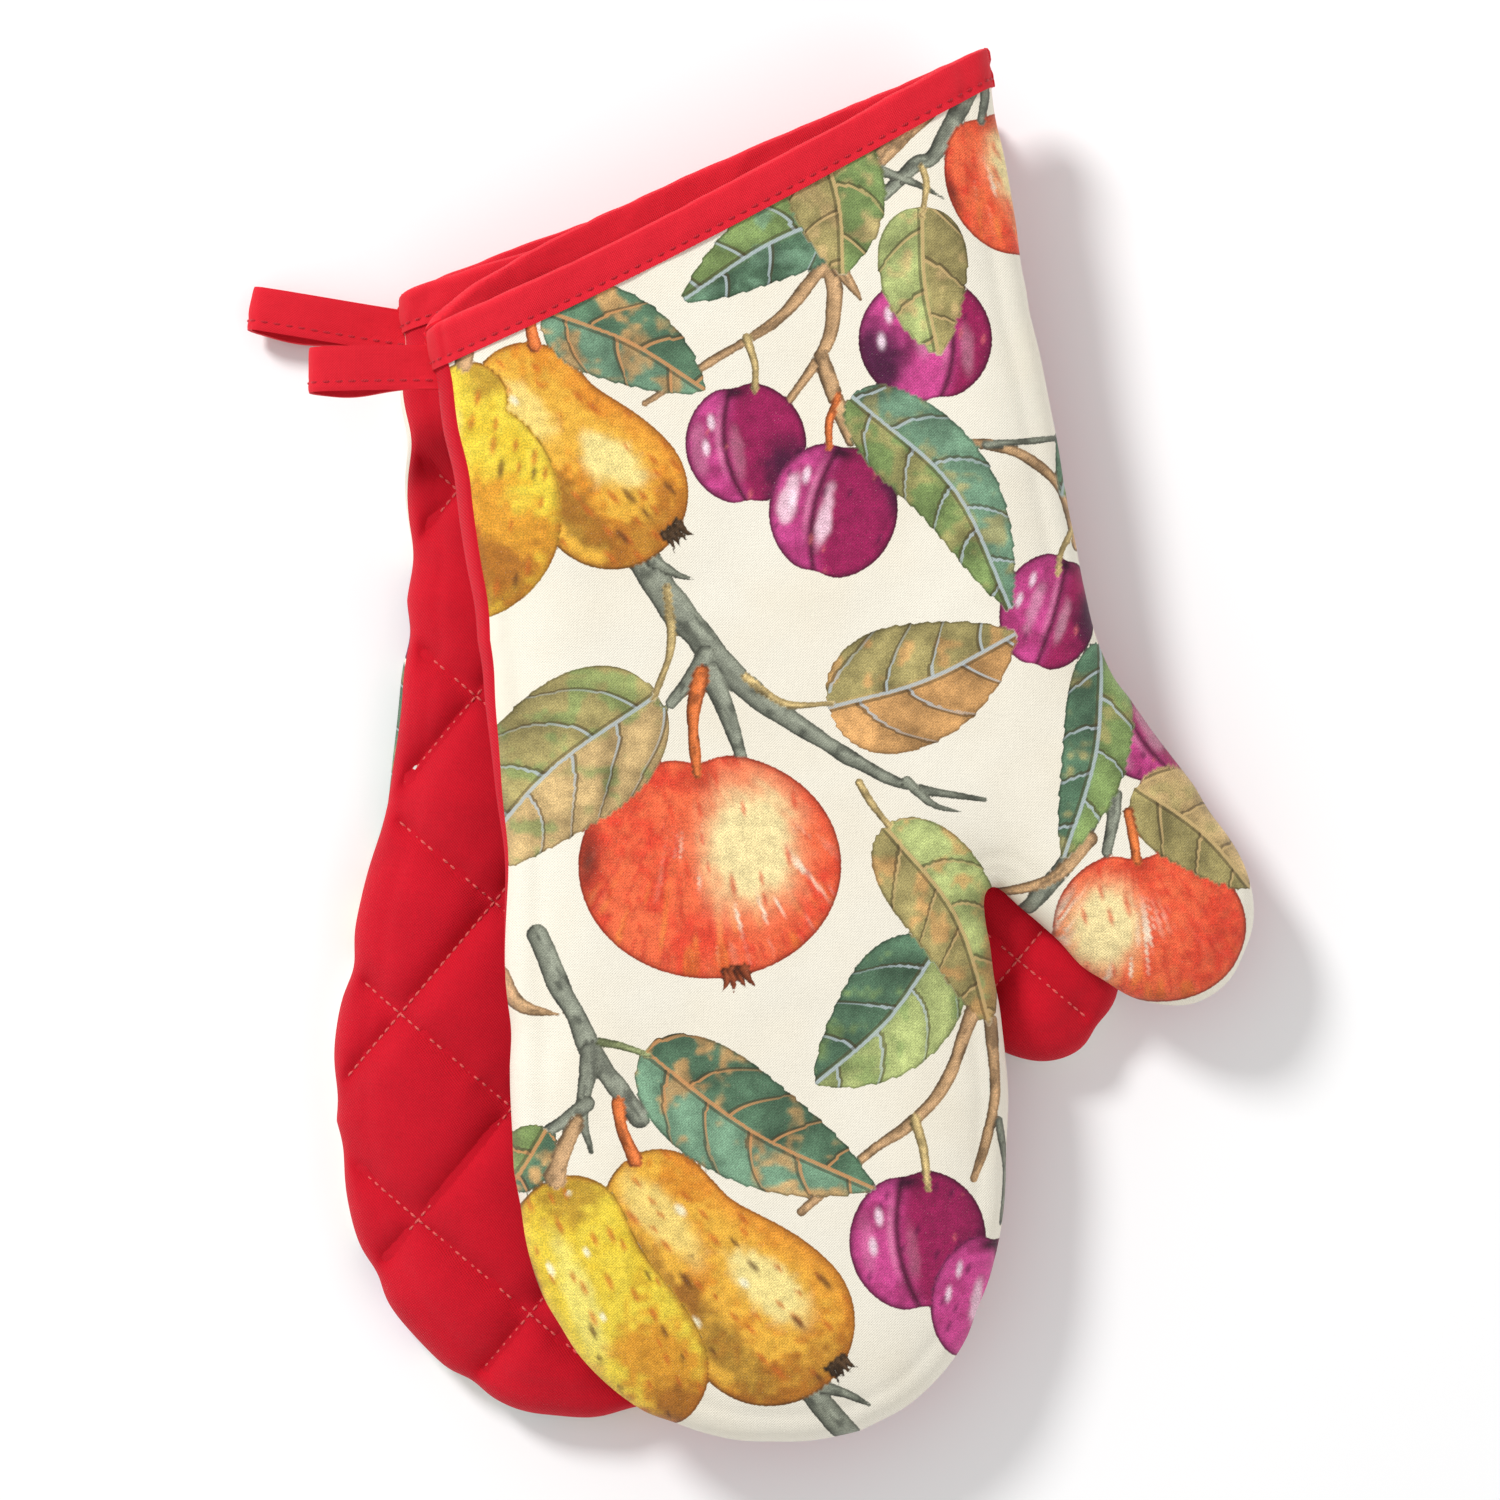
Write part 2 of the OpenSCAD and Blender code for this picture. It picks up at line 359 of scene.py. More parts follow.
    def quilting(self, xy, face):
        """Diamonds that swell between rows of stitches, with small puckers beside them."""
        depth = 3.3 if face == TOP else 1.7
        (a, along_a), (b, along_b) = quilt_lines(xy)
        z = -depth
        for off, along in ((a, along_a), (b, along_b)):
            bead = 0.5 + 0.5 * np.cos(2 * np.pi * along / STITCH_PITCH)
            pucker = 0.9 * (noise(np.stack([along / 4.2, abs(off) / 26], 1), 1, 5) - 0.5)
            z = z - 0.3 * bell(off, 0, 0.9) * bead + pucker * np.exp(-abs(off) / 5.0)
        a, b = (np.hypot(off, 0.7) - 0.7 for off in (a, b))
        both = (1 - np.exp(-a / 2.6)) * (1 - np.exp(-b / 2.6))
        return z + depth * both

    def normals(self, xy, face):
        h = 0.3
        dx = self.height(xy + (h, 0), face, True) - self.height(xy - (h, 0), face, True)
        dy = self.height(xy + (0, h), face, True) - self.height(xy - (0, h), face, True)
        n = np.stack([-dx / (2 * h), -dy / (2 * h), np.ones(len(xy))], 1)
        # On the seam itself the cloth stands upright, facing straight out.
        at, far = self.edge_near(xy)
        on_seam = far < 0.35
        n[on_seam] = np.column_stack([-self.edge_normals, np.zeros(len(self.edge))])[at[on_seam]]
        n = unit(n)
        n[:, 2] *= face
        return n

    def surface(self, xy, face, depth=0.0):
        """Points on one face, depth inside its outer surface."""
        xy = np.asarray(xy, float)
        z = self.height(xy, face)
        p = np.column_stack([xy, face * z])
        if depth:
            p = p - depth * self.normals(xy, face)
        return p

    def inside(self, xy, face, depth, close=None):
        """The same for the padding and the lining, which keep clear of the other half.
        close is where the layer comes down to its own seam."""
        z = self.height(xy, face)
        if face == self.palm:
            z = z - 1.5 * np.exp(-self.nearest_quilting(xy) / 2.5) * (depth < SHELL + 0.1)
        cap = z - SHELL - GAP - 0.1 * (depth - SHELL)
        z = np.minimum(np.maximum(z - depth, 0.7 + 0.45 * (WALL - depth)), cap)
        if close is not None:
            z = 0.12 + (z - 0.12) * (0.03 + 0.97 * swell(self.distance(xy) - close, 3.0))
        return np.column_stack([xy, face * z])

    def place(self, points):
        """From this mitt's frame to the row frame, in metres."""
        p = np.asarray(points, float)
        if self.name == "upper":
            m = turn(1, UPPER_LEAN) @ turn(0, UPPER_DIP)
            return (p @ m.T + UPPER_ORIGIN) * MM
        corner = np.array([*(np.array(SIDE_SEAM[0]) * LENGTH / 100), 0])
        origin = np.array([UPPER_ORIGIN[0] + LOWER_SHIFT[0], UPPER_ORIGIN[1] + LOWER_SHIFT[1],
                           LOWER_SEAM])
        return ((p - corner) @ turn(2, -FAN).T + corner + origin) * MM

    # ---- outlines of cloth ----

    def side_between(self, inset, strip):
        """The side seam, run on past the mouth, moved inwards. strip moves the left side to
        where the other face's cloth ends."""
        move = np.full(len(self.edge), float(inset))
        if strip:
            left = np.arange(len(self.edge)) < self.left_end
            move = move + np.where(left, self.strip(self.edge[:, 1]), 0)
        return self.edge + self.edge_normals * move[:, None]

    def cuff_line(self, face, drop):
        """A line drop below the mouth's edge, run on past the side seam at both ends."""
        return self.cuff_point(np.linspace(-0.08, 1.08, 200), face) + self.down * drop

    def outline(self, face, inset, strip, drop):
        """A closed outline: the side seam, then back along the mouth to the low corner."""
        line = resample(self.side_between(inset, strip), OUTLINE_STEP)
        cuff = resample(self.cuff_line(face, drop), OUTLINE_STEP)
        first, a = crossing(line, cuff)
        last, b = crossing(line[::-1], cuff[::-1])
        i, j = first[0], len(line) - 1 - last[0]
        ci, cj = first[1], len(cuff) - 1 - last[1]
        side = np.vstack([a, line[i + 1:j], b])
        mid = cuff[ci + 1:cj][::-1]
        loop = np.vstack([side, mid])
        keep = np.linalg.norm(loop - np.roll(loop, 1, axis=0), axis=1) > 0.25
        return loop[keep]


def crossing(line, other):
    """The first place where one line crosses the other: both indices, and the point."""
    for i in range(len(line) - 1):
        p, r = line[i], line[i + 1] - line[i]
        q, s = other[:-1], np.diff(other, axis=0)
        cross = r[0] * s[:, 1] - r[1] * s[:, 0]
        cross = np.where(abs(cross) < 1e-12, 1e-12, cross)
        d = q - p
        t = (d[:, 0] * s[:, 1] - d[:, 1] * s[:, 0]) / cross
        u = (d[:, 0] * r[1] - d[:, 1] * r[0]) / cross
        hit = np.nonzero((t >= 0) & (t <= 1) & (u >= 0) & (u <= 1))[0]
        if len(hit):
            return (i, int(hit[0])), p + r * t[hit[0]]
    raise ValueError("the side seam doesn't cross the mouth")


# ------------------------------------------------------------------- cloth simulation

def blur(values, mask, sigma):
    """Gaussian blur of a grid that has values only where mask is set."""
    r = int(math.ceil(3 * sigma))
    kernel = np.exp(-0.5 * (np.arange(-r, r + 1) / sigma) ** 2)

    def both_ways(a):
        for axis in (0, 1):
            a = np.apply_along_axis(lambda v: np.convolve(v, kernel, "same"), axis, a)
        return a
    return both_ways(values * mask) / np.maximum(both_ways(mask.astype(float)), 1e-6)


def sample(grid, xy):
    """Smooth cubic sampling of a (origin, step, values) grid."""
    origin, step, values = grid
    p = (xy - origin) / step
    cell = np.floor(p).astype(int)
    f = p - cell
    weights = []
    for k in (0, 1):
        t = f[:, k]
        weights.append([(1 - t) ** 3 / 6, (3 * t ** 3 - 6 * t ** 2 + 4) / 6,
                        (-3 * t ** 3 + 3 * t ** 2 + 3 * t + 1) / 6, t ** 3 / 6])
    total = np.zeros(len(xy))
    for i in range(4):
        ix = np.clip(cell[:, 0] + i - 1, 0, values.shape[0] - 1)
        for j in range(4):
            iy = np.clip(cell[:, 1] + j - 1, 0, values.shape[1] - 1)
            total += weights[0][i] * weights[1][j] * values[ix, iy]
    return total


def simulate(mitt):
    """Blows the mitt up as a cloth pillow, held down along the rows of quilting, and keeps
    the ripples of each face: what is left of its height when the slow swell is taken off."""
    step, cell, frames = 3.4, 2.0, 20
    loop = resample(mitt.edge, step)
    loop = np.vstack([loop, resample(np.array([loop[-1], loop[0]]), step)[1:-1]])
    xy, tris = fill(loop, step, rings=())
    count, ring = len(xy), len(loop)
    inner = np.arange(ring, count)
    z = {f: 0.55 * mitt.height(xy, f, True) for f in (TOP, BASE)}
    z[TOP][:ring] = 0
    points = np.vstack([np.column_stack([xy, z[TOP]]),
                        np.column_stack([xy[inner], -z[BASE][inner]])])
    under = np.concatenate([np.arange(ring), np.arange(len(inner)) + count])
    faces = np.vstack([tris, under[tris][:, ::-1]])
    mesh = bpy.data.meshes.new("pillow")
    mesh.from_pydata((points * MM).tolist(), [], faces.tolist())
    pillow = add_object("pillow", mesh)
    held = np.zeros(len(points), bool)
    held[:ring] = mitt.below_cuff(xy[:ring]) < 0
    rows = Mitt.nearest_quilting(xy) < 1.8
    if mitt.palm == TOP:
        held[:count] |= rows
    else:
        held[count:] |= rows[inner]
    pins = pillow.vertex_groups.new(name="held")
    pins.add(np.nonzero(held)[0].tolist(), 1.0, "REPLACE")
    cloth = pillow.modifiers.new("Cloth", "CLOTH")
    cloth.settings.quality = 6
    cloth.settings.mass = 0.25
    cloth.settings.tension_stiffness = 18
    cloth.settings.compression_stiffness = 18
    cloth.settings.shear_stiffness = 8
    cloth.settings.bending_stiffness = 0.4
    cloth.settings.use_pressure = True
    cloth.settings.uniform_pressure_force = 4
    cloth.settings.vertex_group_mass = "held"
    cloth.settings.effector_weights.gravity = 0
    cloth.point_cache.frame_start, cloth.point_cache.frame_end = 1, frames
    scene = bpy.context.scene
    for f in range(1, frames + 1):
        scene.frame_set(f)
    blown = pillow.evaluated_get(bpy.context.evaluated_depsgraph_get()).to_mesh()
    co = np.zeros(len(points) * 3)
    blown.vertices.foreach_get("co", co)
    co = co.reshape(-1, 3) / MM
    bpy.data.objects.remove(pillow)
    scene.frame_set(1)
    if not np.isfinite(co).all():
        return
    move = co - points
    size = np.linalg.norm(move, axis=1, keepdims=True)
    co = points + move * np.minimum(1, 12 / np.maximum(size, 1e-6))
    tree = BVHTree.FromPolygons(co.tolist(), faces.tolist())
    low = mitt.edge.min(0) - 4
    cells = np.ceil((mitt.edge.max(0) + 4 - low) / cell).astype(int)
    for face in (TOP, BASE):
        heights = np.zeros(cells)
        mask = np.zeros(cells, bool)
        for i in range(cells[0]):
            for j in range(cells[1]):
                x, y = low + cell * np.array([i, j])
                hit = tree.ray_cast(Vector((x, y, 90 * face)), Vector((0, 0, -face)))[0]
                if hit is not None:
                    heights[i, j], mask[i, j] = face * hit.z, True
        fine = blur(heights, mask, 1.1)
        slow = blur(heights, mask, 7.0)
        ripple = np.clip(fine - slow, -2.2, 2.2) * mask
        mitt.ripples[face] = (low, cell, blur(ripple, np.ones(cells, bool), 0.8))


# -------------------------------------------------------------------------- mesh tools

def fill(loop, spacing, rings=(0.22, 0.6, 1.15, 1.9, 2.8), rows=None):
    """Points and triangles inside a closed outline that runs anticlockwise. The outline's
    own points come first. rings are distances from the outline with a row of points, and
    rows are more points to pass through."""
    normals = left_normals(np.vstack([loop[-1:], loop, loop[:1]]))[1:-1]
    dense = resample(np.vstack([loop, loop[:1]]), 0.15)
    dense_normals = left_normals(dense)
    tree = kd_tree(dense)

    def well_inside(xy, least):
        at, far = nearest(tree, xy)
        return (far > least) & (((xy - dense[at]) * dense_normals[at]).sum(1) > 0)

    groups = [loop]
    for r in rings:
        p = loop + normals * r
        groups.append(p[nearest(tree, p)[1] > 0.9 * r])
    margin = (rings[-1] if rings else 0) + 0.55 * spacing
    taken = None
    if rows is not None:
        rows = rows[well_inside(rows, margin - 0.4)]
        groups.append(rows)
        taken = kd_tree(rows)
    low, high = loop.min(0), loop.max(0)
    for k, y in enumerate(np.arange(low[1], high[1], spacing * math.sqrt(3) / 2)):
        x = np.arange(low[0] + (k % 2) * spacing / 2, high[0], spacing)
        p = np.column_stack([x, np.full(len(x), y)])
        good = well_inside(p, margin)
        if taken is not None:
            good &= nearest(taken, p)[1] > 0.6 * spacing
        groups.append(p[good])
    points = np.vstack(groups)
    n = len(loop)
    edges = [(i, (i + 1) % n) for i in range(n)]
    flat, _, tris, sources, _, _ = delaunay_2d_cdt(
        [Vector(p) for p in points.tolist()], edges, [], 1, 1e-5)
    if len(flat) != len(points) or any(s and s[0] != i for i, s in enumerate(sources)):
        order = np.full(len(flat), -1)
        for i, s in enumerate(sources):
            order[i] = s[0] if s else -1
        if sorted(order[order >= 0].tolist()) != list(range(len(points))):
            print("fill: the outline crosses itself or has doubled points")
        xy = np.array([tuple(p) for p in flat])
        tris = np.array(tris)
        new = np.argsort(np.where(order < 0, len(points) + np.arange(len(flat)), order))
        rank = np.empty(len(flat), int)
        rank[new] = np.arange(len(flat))
        return xy[new], rank[tris]
    tris = np.array(tris)
    a, b, c = (points[tris[:, k]] for k in range(3))
    area = (b[:, 0] - a[:, 0]) * (c[:, 1] - a[:, 1]) - (b[:, 1] - a[:, 1]) * (c[:, 0] - a[:, 0])
    tris = np.where((area < 0)[:, None], tris[:, ::-1], tris)
    return points, tris[abs(area) > 1e-9]


def weld(points, faces):
    """Joins points that lie together, and drops the faces that this empties."""
    key = np.round(points / SAME_POINT).astype(np.int64)
    _, first, back = np.unique(key, axis=0, return_index=True, return_inverse=True)
    back = back.ravel()
    faces = back[faces]
    good = np.ones(len(faces), bool)
    for k in range(faces.shape[1]):
        good &= faces[:, k] != faces[:, (k + 1) % faces.shape[1]]
    return first, faces[good]


def slab(regions, spacing, inner_spacing, outside, inside, rows=None):
    """A closed layer of cloth. regions are (face, outline) pairs that may share an edge;
    outside(xy, face) and inside(xy, face) give the points of its two surfaces."""
    points, flat, faces = [], [], []
    partner = {}
    total = 0
    for face, loop in regions:
        xy, tris = fill(loop, spacing, rows=None if len(points) else rows)
        in_xy, in_tris = fill(loop, inner_spacing, rings=(0.8, 2.4))
        if face == BASE:
            tris, in_tris = tris[:, ::-1], in_tris[:, ::-1]
        faces += [tris + total, in_tris[:, ::-1] + total + len(xy)]
        points += [outside(xy, face), inside(in_xy, face)]
        flat += [xy, in_xy]
        for i in range(len(loop)):
            partner[total + i] = total + len(xy) + i
        total += len(xy) + len(in_xy)
    points, flat = np.vstack(points), np.vstack(flat)
    outer = np.vstack(faces[0::2])
    first, joined = weld(points, outer)
    # joined uses the welded numbering; put it back on the first point of each group
    outer_first = first[joined]
    edges = np.vstack([outer_first[:, [0, 1]], outer_first[:, [1, 2]], outer_first[:, [2, 0]]])
    codes = set(map(tuple, edges.tolist()))
    same = {}
    key = np.round(points / SAME_POINT).astype(np.int64)
    for i in partner:
        same.setdefault(tuple(key[i]), i)
    walls = []
    for a, b in codes:
        if (b, a) not in codes:
            ia, ib = same.get(tuple(key[a])), same.get(tuple(key[b]))
            if ia is None or ib is None:
                continue
            walls += [(b, a, partner[ia]), (b, partner[ia], partner[ib])]
    everything = np.vstack(faces + ([np.array(walls)] if walls else []))
    first, everything = weld(points, everything)
    return points[first], flat[first], everything


def strip_solid(grid, thickness, closed):
    """A closed band from a grid of points, (along, across, 3), thickened against its
    normals. closed says that the band joins up with its own start."""
    along = np.roll(grid, -1, 0) - np.roll(grid, 1, 0) if closed else np.gradient(grid, axis=0)
    across = np.gradient(grid, axis=1)
    n = unit(np.cross(along, across))
    rows, cols = grid.shape[:2]
    back = grid - n * thickness
    points = np.vstack([grid.reshape(-1, 3), back.reshape(-1, 3)])
    faces = []
    m = rows * cols
    last = rows if closed else rows - 1
    i = np.arange(last)[:, None]
    j = np.arange(cols - 1)[None, :]
    a = (i * cols + j).ravel()
    b = (((i + 1) % rows) * cols + j).ravel()
    faces += [np.column_stack([a, b, b + 1, a + 1]),
              np.column_stack([a + m, a + 1 + m, b + 1 + m, b + m])]
    i = np.arange(last)
    a, b = i * cols, ((i + 1) % rows) * cols
    faces += [np.column_stack([a, a + m, b + m, b])]
    a, b = a + cols - 1, b + cols - 1
    faces += [np.column_stack([a, b, b + m, a + m])]
    if not closed:
        j = np.arange(cols - 1)
        faces += [np.column_stack([j, j + 1, j + 1 + m, j + m])]
        k = (rows - 1) * cols + j
        faces += [np.column_stack([k, k + m, k + 1 + m, k + 1])]
    return points, np.vstack(faces)


def stitch_beads(line, normals, pitch, length, radius, rise=0.0):
    """Separate stitches along a line on a surface: small pods that dip in at both ends."""
    along = arc_length(line)
    count = max(1, int(round(arc_length(line[:, :2])[-1] / pitch)))
    stretch = along[-1] / (count * pitch)
    sides, rings = 6, 5
    pods, faces, codes = [], [], []
    total = 0
    for k in range(count):
        start = (k + 0.5) * pitch - length / 2
        at = np.linspace(start, start + length, rings) * stretch
        c = np.stack([np.interp(at, along, line[:, i]) for i in range(3)], 1)
        n = unit(np.stack([np.interp(at, along, normals[:, i]) for i in range(3)], 1))
        t = unit(np.gradient(c, axis=0))
        side = unit(np.cross(n, t))
        across = np.linspace(-1, 1, rings)
        fat = radius * np.sqrt(np.maximum(1 - (0.97 * across) ** 2, 0.02))
        lift = rise + radius * (0.55 - 1.1 * across ** 2)
        turn_by = np.arange(sides) * 2 * np.pi / sides
        ring = (c[:, None] + n[:, None] * lift[:, None, None]
                + side[:, None] * (fat[:, None] * np.cos(turn_by))[..., None]
                + n[:, None] * (0.8 * fat[:, None] * np.sin(turn_by))[..., None])
        pods.append(ring.reshape(-1, 3))
        codes.append(np.column_stack([np.repeat(at, sides), np.tile(turn_by, rings)]))
        i = np.arange(rings - 1)[:, None] * sides
        j = np.arange(sides)[None, :]
        a = (total + i + j).ravel()
        b = (total + i + (j + 1) % sides).ravel()
        faces.append(np.column_stack([a, b, b + sides, a + sides]))
        for base, flip in ((total, True), (total + (rings - 1) * sides, False)):
            cap = [base + s for s in range(sides)]
            cap = cap[::-1] if flip else cap
            faces.append(np.array([[cap[0], cap[1], cap[2], cap[3]],
                                   [cap[0], cap[3], cap[4], cap[5]]]))
        total += rings * sides
    return np.vstack(pods), np.vstack(faces), np.vstack(codes)


def make_piece(name, points, faces, material, body, node, cloth, art=None, crease=50):
    """A mesh object in the row frame, which rides on a body and replaces a CAD node. cloth is
    each point's place on the flat cloth, and art its painting."""
    mesh = bpy.data.meshes.new(name)
    faces = np.asarray(faces)
    n, k = faces.shape
    mesh.vertices.add(len(points))
    mesh.vertices.foreach_set("co", np.asarray(points, np.float32).ravel())
    mesh.loops.add(n * k)
    mesh.loops.foreach_set("vertex_index", faces.astype(np.int32).ravel())
    mesh.polygons.add(n)
    mesh.polygons.foreach_set("loop_start", np.arange(n, dtype=np.int32) * k)
    mesh.polygons.foreach_set("use_smooth", np.ones(n, bool))
    mesh.update(calc_edges=True)
    zero, one = np.zeros(len(points)), np.ones(len(points))
    layers = [("cloth", "FLOAT_VECTOR", "vector", np.column_stack([cloth, zero]))]
    if art:
        layers += [("leaf", "FLOAT_VECTOR", "vector", art.leaf),
                   ("ink", "FLOAT_COLOR", "color", np.column_stack([art.ink, one])),
                   ("vein", "FLOAT_COLOR", "color", np.column_stack([art.vein, one])),
                   ("edge", "FLOAT", "value", art.edge)]
    for key, kind, field, values in layers:
        layer = mesh.attributes.new(key, kind, "POINT")
        layer.data.foreach_set(field, values.astype(np.float32).ravel())
    mesh.validate()
    mesh.set_sharp_from_angle(angle=math.radians(crease))
    piece = add_object(name, mesh)
    mesh.materials.append(material)
    if body:
        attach(piece, body)
    if node:
        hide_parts(node)
    return piece


# ------------------------------------------------------------------------ printed cloth

def rgb(*levels):
    """A colour as linear light, from levels of 0 to 255 on a screen."""
    c = np.array(levels, float) / 255
    return np.where(c <= 0.04045, c / 12.92, ((c + 0.055) / 1.055) ** 2.4)


CREAM = rgb(246, 240, 224)


def mix(a, b, share):
    share = np.clip(np.asarray(share, float), 0, 1)
    return np.asarray(a) + (np.asarray(b) - np.asarray(a)) * share[..., None]


class Painting:
    """A watercolour print: for each point, the colour of the topmost shape, how far that
    shape's edge is (less than 0 inside), and the place within a leaf for its veins."""

    def __init__(self, xy):
        self.xy = xy
        n = len(xy)
        self.ink = np.tile(CREAM, (n, 1))
        self.edge = np.full(n, 3.0)
        self.leaf = np.zeros((n, 3))
        self.vein = np.tile(CREAM, (n, 1))

    def near(self, line, reach):
        low, high = line.min(0) - reach - 3, line.max(0) + reach + 3
        return np.nonzero(((self.xy > low) & (self.xy < high)).all(1))[0]

    def lay(self, at, far, colour, leaf=None, vein=None):
        """Puts a shape over what is there. far is the distance from its edge."""
        take = (far < 0) | ((self.edge[at] > 0) & (far < self.edge[at]))
        i = at[take]
        self.edge[i] = far[take]
        self.ink[i] = np.clip(colour[take], 0, 1)
        self.leaf[i] = leaf[take] if leaf is not None else 0
        if vein is not None:
            self.vein[i] = vein

    def follow(self, at, line):
        """Each point's place along a line, and how far it is to the line's left."""
        p = self.xy[at]
        d = np.linalg.norm(p[:, None] - line[None], axis=2)
        k = d.argmin(1)
        n = left_normals(line)[k]
        side = np.sign(((p - line[k]) * n).sum(1))
        return k / (len(line) - 1), d[np.arange(len(p)), k] * side

    def twig(self, points, width, tip, colour, seed):
        line = resample(spline(points), 0.7)
        at = self.near(line, width)
        if not len(at):
            return
        u, v = self.follow(at, line)
        half = 0.5 * (width + (tip - width) * u) * (0.84 + 0.34 * noise(self.xy[at], 5, seed))
        far = abs(v) - half
        length = arc_length(line)[-1]
        grain = noise(np.stack([u * length / 6, v / 0.8], 1), 1, seed + 1)
        wash = noise(self.xy[at], 2.2, seed + 2)
        shade = mix(colour * 0.62, colour * 1.5, 0.6 * grain + 0.5 * wash)
        rounded = np.clip(v / np.maximum(half, 0.1), -1, 1)
        shade = mix(shade, colour * 0.22, smoothstep(0.25, 1.0, -rounded) * 0.75)
        shade = mix(shade, colour * 1.9 + 0.05, bell(rounded, 0.35, 0.3) * 0.3)
        knot = smoothstep(0.62, 0.8, noise(np.stack([u * length / 3, v / 1.3], 1), 1, seed + 3))
        self.lay(at, far, mix(shade, colour * 0.2, knot * 0.6))

    def leaf_shape(self, base, tip, half, tones, vein, bend, seed):
        """tones: left half, right half and blotches."""
        base, tip = np.array(base, float), np.array(tip, float)
        across = left_of(tip - base)
        line = resample(spline([base, (base + tip) / 2 + across * bend, tip]), 0.6)
        at = self.near(line, half)
        if not len(at):
            return
        u, v = self.follow(at, line)
        length = arc_length(line)[-1]
        slack = np.clip(u, 0, 1)
        width = half / 0.44 * (1 - slack) ** 0.78 * slack ** 0.46
        teeth = 0.55 * np.mod(-u * length / 4.2 + seed * 0.37, 1) * smoothstep(0.2, 0.5, u)
        far = abs(v) - width + teeth * (half > 8)
        left, right, blotch = (rgb(*tone) for tone in tones)
        phase = (u * length - 0.3 * abs(v) - 0.05 * v ** 2) / VEIN_GAP + 0.5 * (v > 0)
        phase += 0.25 * (noise(self.xy[at], 11, seed + 9) - 0.5) + 7
        blot = noise(self.xy[at], 6.5, seed)
        fine = noise(self.xy[at], 1.5, seed + 3)
        shade = mix(right, left, smoothstep(-1.5, 1.5, v))
        patch = noise(self.xy[at], 4.2, seed + 5) * 0.7 + fine * 0.3
        shade = mix(shade, blotch, smoothstep(0.55, 0.75, patch) * 0.7)
        between = 0.5 + 0.5 * np.cos(2 * np.pi * phase)
        shade = shade * (0.62 + 0.42 * blot + 0.3 * between + 0.24 * (fine - 0.5))[:, None]
        inner = np.clip(abs(v) / np.maximum(width, 0.5), 0, 1)
        shade = mix(shade, shade * 0.5, smoothstep(0.85, 1.0, inner) * 0.45)
        shade = mix(shade, shade * 0.55, smoothstep(0.4, 0.75, noise(self.xy[at], 9, seed + 7)) * 0.55)
        self.lay(at, far, shade, np.stack([phase, v, np.ones(len(at))], 1), rgb(*vein))

    def oval(self, centre, radii, tilt):
        """The points near a tilted ellipse, and for each one its place in the unit circle, how
        far out that is, and how far it is outside the edge."""
        line = np.array([centre, centre], float)
        at = self.near(line, max(radii))
        p = self.xy[at] - centre
        c, s = math.cos(math.radians(tilt)), math.sin(math.radians(tilt))
        p = np.stack([p[:, 0] * c + p[:, 1] * s, -p[:, 0] * s + p[:, 1] * c], 1)
        r = np.array(radii, float)
        inner = np.linalg.norm(p / r, axis=1)
        far = inner * (inner - 1) / np.maximum(np.linalg.norm(p / r ** 2, axis=1), 1e-4)
        return at, p / r, inner, far

    def plum(self, centre, radii, stem, crease, dark, glow, seed):
        """stem is the direction of the dimple in degrees, crease how far right of the
        middle the groove is, dark the middle of the violet side and glow the bloom."""
        at, p, inner, far = self.oval(centre, radii, stem - 90)
        if not len(at):
            return
        xy = self.xy[at]
        x, y = p.T
        groove = x - crease * (1 - 0.75 * y ** 2)
        far = far + 1.1 * bell(x, 0.2 * crease, 0.22) * (abs(y) > 0.6)
        colour = mix(rgb(212, 76, 148), rgb(160, 30, 88), smoothstep(-0.15, 0.25, groove))
        wash = noise(xy, 6.0, seed) * 0.6 + noise(xy, 1.9, seed + 1) * 0.4
        colour = mix(colour, rgb(132, 22, 72), smoothstep(0.35, 0.75, wash) * 0.5)
        gloom = spot(x, y, 1.5 * dark[0], 1.3 * dark[1], 0.62, 0.8)
        gloom = smoothstep(0.2, 0.9, gloom + 0.55 * (wash - 0.5))
        colour = mix(colour, rgb(58, 20, 52), gloom * 0.9)
        for at_x, at_y, wide, tall in ((crease - 0.42, 0.0, 0.17, 0.5), (crease + 0.2, -0.12, 0.15, 0.55)):
            patch = spot(x, y, at_x, at_y, wide, tall)
            patch = smoothstep(0.35, 0.85, patch + 0.5 * (wash - 0.5)) * glow
            colour = mix(colour, rgb(246, 204, 220), patch)
        reach = (abs(y) < 0.93) * 1.0
        colour = mix(colour, rgb(70, 8, 40), bell(groove, 0, 0.05) * 0.9 * reach)
        lit = bell(groove, -0.1, 0.045) * smoothstep(0.5, -0.2, abs(y - 0.1) - 0.3)
        colour = mix(colour, rgb(236, 150, 186), lit * 0.6)
        for at_x, at_y in ((-0.52, 0.42), (-0.66, 0.02)):
            spark = np.exp(-(((x - at_x) / 0.06) ** 2 + ((y - at_y) / 0.13) ** 2) ** 2)
            colour = mix(colour, rgb(252, 226, 238), spark * 0.9)
        strokes = dashes(xy, (0.35, 0.94), 5.2, (1.3, 0.55), 0.35, seed + 2)
        colour = mix(colour, rgb(70, 18, 56), strokes * 0.6 * (inner < 0.92))
        strokes = dashes(xy, (0.2, 0.98), 6.5, (1.2, 0.5), 0.25, seed + 3)
        colour = mix(colour, rgb(236, 120, 120), strokes * 0.5 * (inner < 0.92))
        dimple = spot(x, y, 0.15 * crease, 0.84, 0.24, 0.1)
        colour = mix(colour, rgb(48, 8, 34), dimple * 0.95)
        colour = mix(colour, rgb(84, 14, 54), smoothstep(0.88, 1.0, inner) * 0.75)
        self.lay(at, far, colour)

